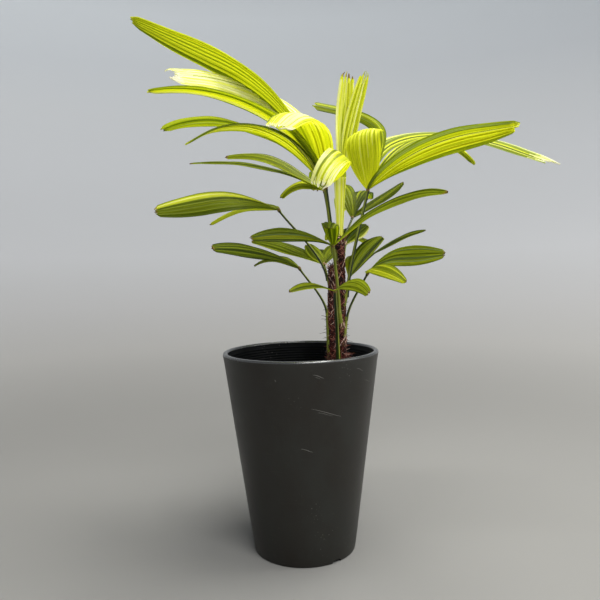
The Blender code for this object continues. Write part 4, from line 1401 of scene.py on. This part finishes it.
def add_soil_chips(shell, edge, rng):
    """Chips of bark, peat and grit that lie on the soil, clear of the canes."""
    solid = np.array(CHIP_CORNERS, float)
    for _ in range(SOIL_CHIPS):
        reach = (edge - CHIP_WALL_GAP) * math.sqrt(rng.uniform(0, 1))
        x, y, _ = round_point(reach, rng.uniform(0, 2 * math.pi), 0)
        feet = [Vector(cane.foot[:2]) for cane in (CANE_TALL, CANE_SHORT)]
        if min((Vector((x, y)) - foot).length for foot in feet) < CHIP_CANE_GAP:
            continue
        size = np.array([rng.uniform(*span) for span in (CHIP_LENGTHS, CHIP_WIDTHS, CHIP_HEIGHTS)]) * MM
        if rng.uniform() < GRAIN_ODDS:
            size = np.full(3, rng.uniform(*GRAIN_SIZES)) * MM
        spin = Matrix.Rotation(rng.uniform(0, 2 * math.pi), 3, "Z")
        lean = Matrix.Rotation(rng.normal(0, CHIP_LEAN), 3, "X")
        lean = lean @ Matrix.Rotation(rng.normal(0, CHIP_LEAN), 3, "Y")
        shape = (solid * (1 + rng.uniform(-CHIP_ROUGHNESS, CHIP_ROUGHNESS, solid.shape))) * size
        shape = shape @ np.array(spin @ lean).T
        top = soil_height(x, y) + size[2] * rng.uniform(-0.2, 0.7)
        placed = shape + np.array((x, y, min(top, CHIP_HIGHEST)))
        shell.add(placed, CHIP_SIDES, int(rng.choice(len(SOIL_COLOURS), p=SOIL_CHIP_ODDS)))


def make_soil(rng):
    shell = Shell()
    edge = inner_radius(SOIL_TOP - SOIL_EDGE_DROP) - SOIL_WALL_GAP
    add_soil_plug(shell, edge)
    add_soil_chips(shell, edge, rng)
    materials = [soil_material(name, *colours) for name, colours in SOIL_COLOURS.items()]
    shell.make("soil_surface", materials, ["soil"], "potting_soil", smooth=False)


def tufts(cane):
    """Hairs all over a cane, at its foot and at its top, and the tall one's thick tuft."""
    top = cane.top.z / MM
    made = [
        Tuft((0, 0, 1, 1, 2, 3), 230, (129, top - 4), (1.5, 4.5), (-0.6, 0.9), 1.3),
        Tuft((0, 0, 0, 1), 64, (143, 190), (3.5, 8.5), (-0.5, 0.8), 2.0),
        Tuft((3, 2, 1, 1, 0), 52, (top - 7, top - 0.5), (3.0, 8.0), (0.5, 1.6), 1.9),
    ]
    if cane is CANE_TALL:
        made.append(Tuft((0, 1, 2, 3), 46, (137, 152), (5.0, 11.0), (-1.2, 0.1), 1.5, -0.3, 0.8))
    return made


def make_canes(rng):
    fibres = [fibre_material(name, *colours) for name, colours in FIBRE_COLOURS.items()]
    for name, cane in (("cane_tall", CANE_TALL), ("cane_short", CANE_SHORT)):
        core = Shell()
        add_cane_core(core, cane)
        core.make(name + "_core", fibres[:1], [name], "cane_fibre")
        strands = Shell()
        add_fibres(strands, cane, rng)
        strands.make(name + "_fibres", fibres, [name], "cane_fibre")
        hairs = Shell()
        for tuft in tufts(cane):
            add_hairs(hairs, cane, rng, tuft)
        hairs.make(name + "_hairs", fibres, [name], "cane_fibre")


def make_frond(name, frond, tones, tone_slots, stalks, rng):
    """Leaflets of a frond as one piece, its stalk, hub and sheath as another."""
    young = name in YOUNG_FRONDS
    slot = "young_leaf" if young else "old_leaf"
    blades = Shell()
    for leaf in frond.leaflets:
        pleat = WIDE_PLEAT if leaf.width > WIDE_BLADE else NARROW_PLEAT
        add_blade(blades, leaf, Vector(frond.hub) * MM, rng, tone_slots, pleat)
    blades.make(name + "_blades", tones, [name], slot)
    stalk = Shell()
    add_petiole(stalk, frond, young, name in UNSHADED_STALKS)
    add_sheath(stalk, frond)
    stalk.make(name + "_stalk", stalks, [name], slot)


def make_foliage(rng):
    tones = [leaf_material(name, colour, glow) for name, colour, glow in TONES.values()]
    tone_slots = {letter: k for k, letter in enumerate(TONES)}
    stalks = [stalk_material(name, *colours) for name, colours in STALK_COLOURS.items()]
    for name, frond in FRONDS.items():
        make_frond(name, frond, tones, tone_slots, stalks, rng)
    spear = Shell()
    add_spear_stalk(spear, tone_slots)
    sunk = SPEAR_STALK_TOP - Vector((0, 0, SPEAR_BLADES_SUNK))
    for leaf in SPEAR_BLADES:
        add_blade(spear, leaf, sunk, rng, tone_slots, SPEAR_PLEAT)
    spear.make("spear_leaf_blades", tones, ["spear_leaf"], "spear_blade")


def make_stage():
    """Pale floor that sweeps up into a wall all round."""
    profile = [(0, 0), (STAGE_FLAT / 2, 0), (STAGE_FLAT, 0)]
    sweep = STAGE_REACH - STAGE_FLAT
    rise = STAGE_HEIGHT * STAGE_SWEEP_SHARE
    for angle in range(2, 91, 2):
        turn = math.radians(angle)
        profile.append((STAGE_FLAT + sweep * math.sin(turn), rise * (1 - math.cos(turn))))
    profile.append((STAGE_REACH, STAGE_HEIGHT))
    vertices, faces = turned(profile, STAGE_SIDES)
    piece("stage_sweep", vertices, faces, [0] * len(faces), [stage_material()], (), None, stage=True)


def add_light(name, place, size, power, colour):
    data = bpy.data.lights.new(name, "AREA")
    data.shape = "RECTANGLE"
    data.size, data.size_y = size
    data.energy = power
    data.color = colour
    light = bpy.data.objects.new(name, data)
    light.location = place
    light.rotation_mode = "QUATERNION"
    light.rotation_quaternion = (Vector(LIGHT_AIM) - Vector(place)).to_track_quat("-Z", "Y")
    bpy.context.scene.collection.objects.link(light)


def make_lights():
    for light in LIGHTS:
        add_light(*light)
    world = bpy.data.worlds.new("world")
    bpy.context.scene.world = world
    world.use_nodes = True
    background = world.node_tree.nodes["Background"]
    background.inputs["Color"].default_value = (*WORLD_COLOUR, 1.0)
    background.inputs["Strength"].default_value = WORLD_STRENGTH


def make_camera():
    """Camera at the viewing angle, from its place, dip and lean."""
    dip = math.radians(CAMERA_DIP)
    lean = math.radians(CAMERA_LEAN)
    forward = Vector((0, math.cos(dip), -math.sin(dip)))
    right = Vector((1, 0, 0))
    up = right.cross(forward)
    across = right * math.cos(lean) + up * math.sin(lean)
    above = up * math.cos(lean) - right * math.sin(lean)
    data = bpy.data.cameras.new("camera")
    data.sensor_width = 36
    data.lens = CAMERA_LENS
    data.clip_start = 0.01
    data.clip_end = 20
    camera = bpy.data.objects.new("camera", data)
    turn = Matrix((across, above, -forward)).transposed()
    camera.matrix_world = Matrix.Translation(CAMERA_PLACE) @ turn.to_4x4()
    bpy.context.scene.collection.objects.link(camera)
    bpy.context.scene.camera = camera


rng = np.random.default_rng(SEED)
make_pot()
make_soil(rng)
make_canes(rng)
make_foliage(rng)
make_stage()
make_lights()
make_camera()
bpy.context.scene.view_settings.view_transform = "Standard"
bpy.context.view_layer.update()
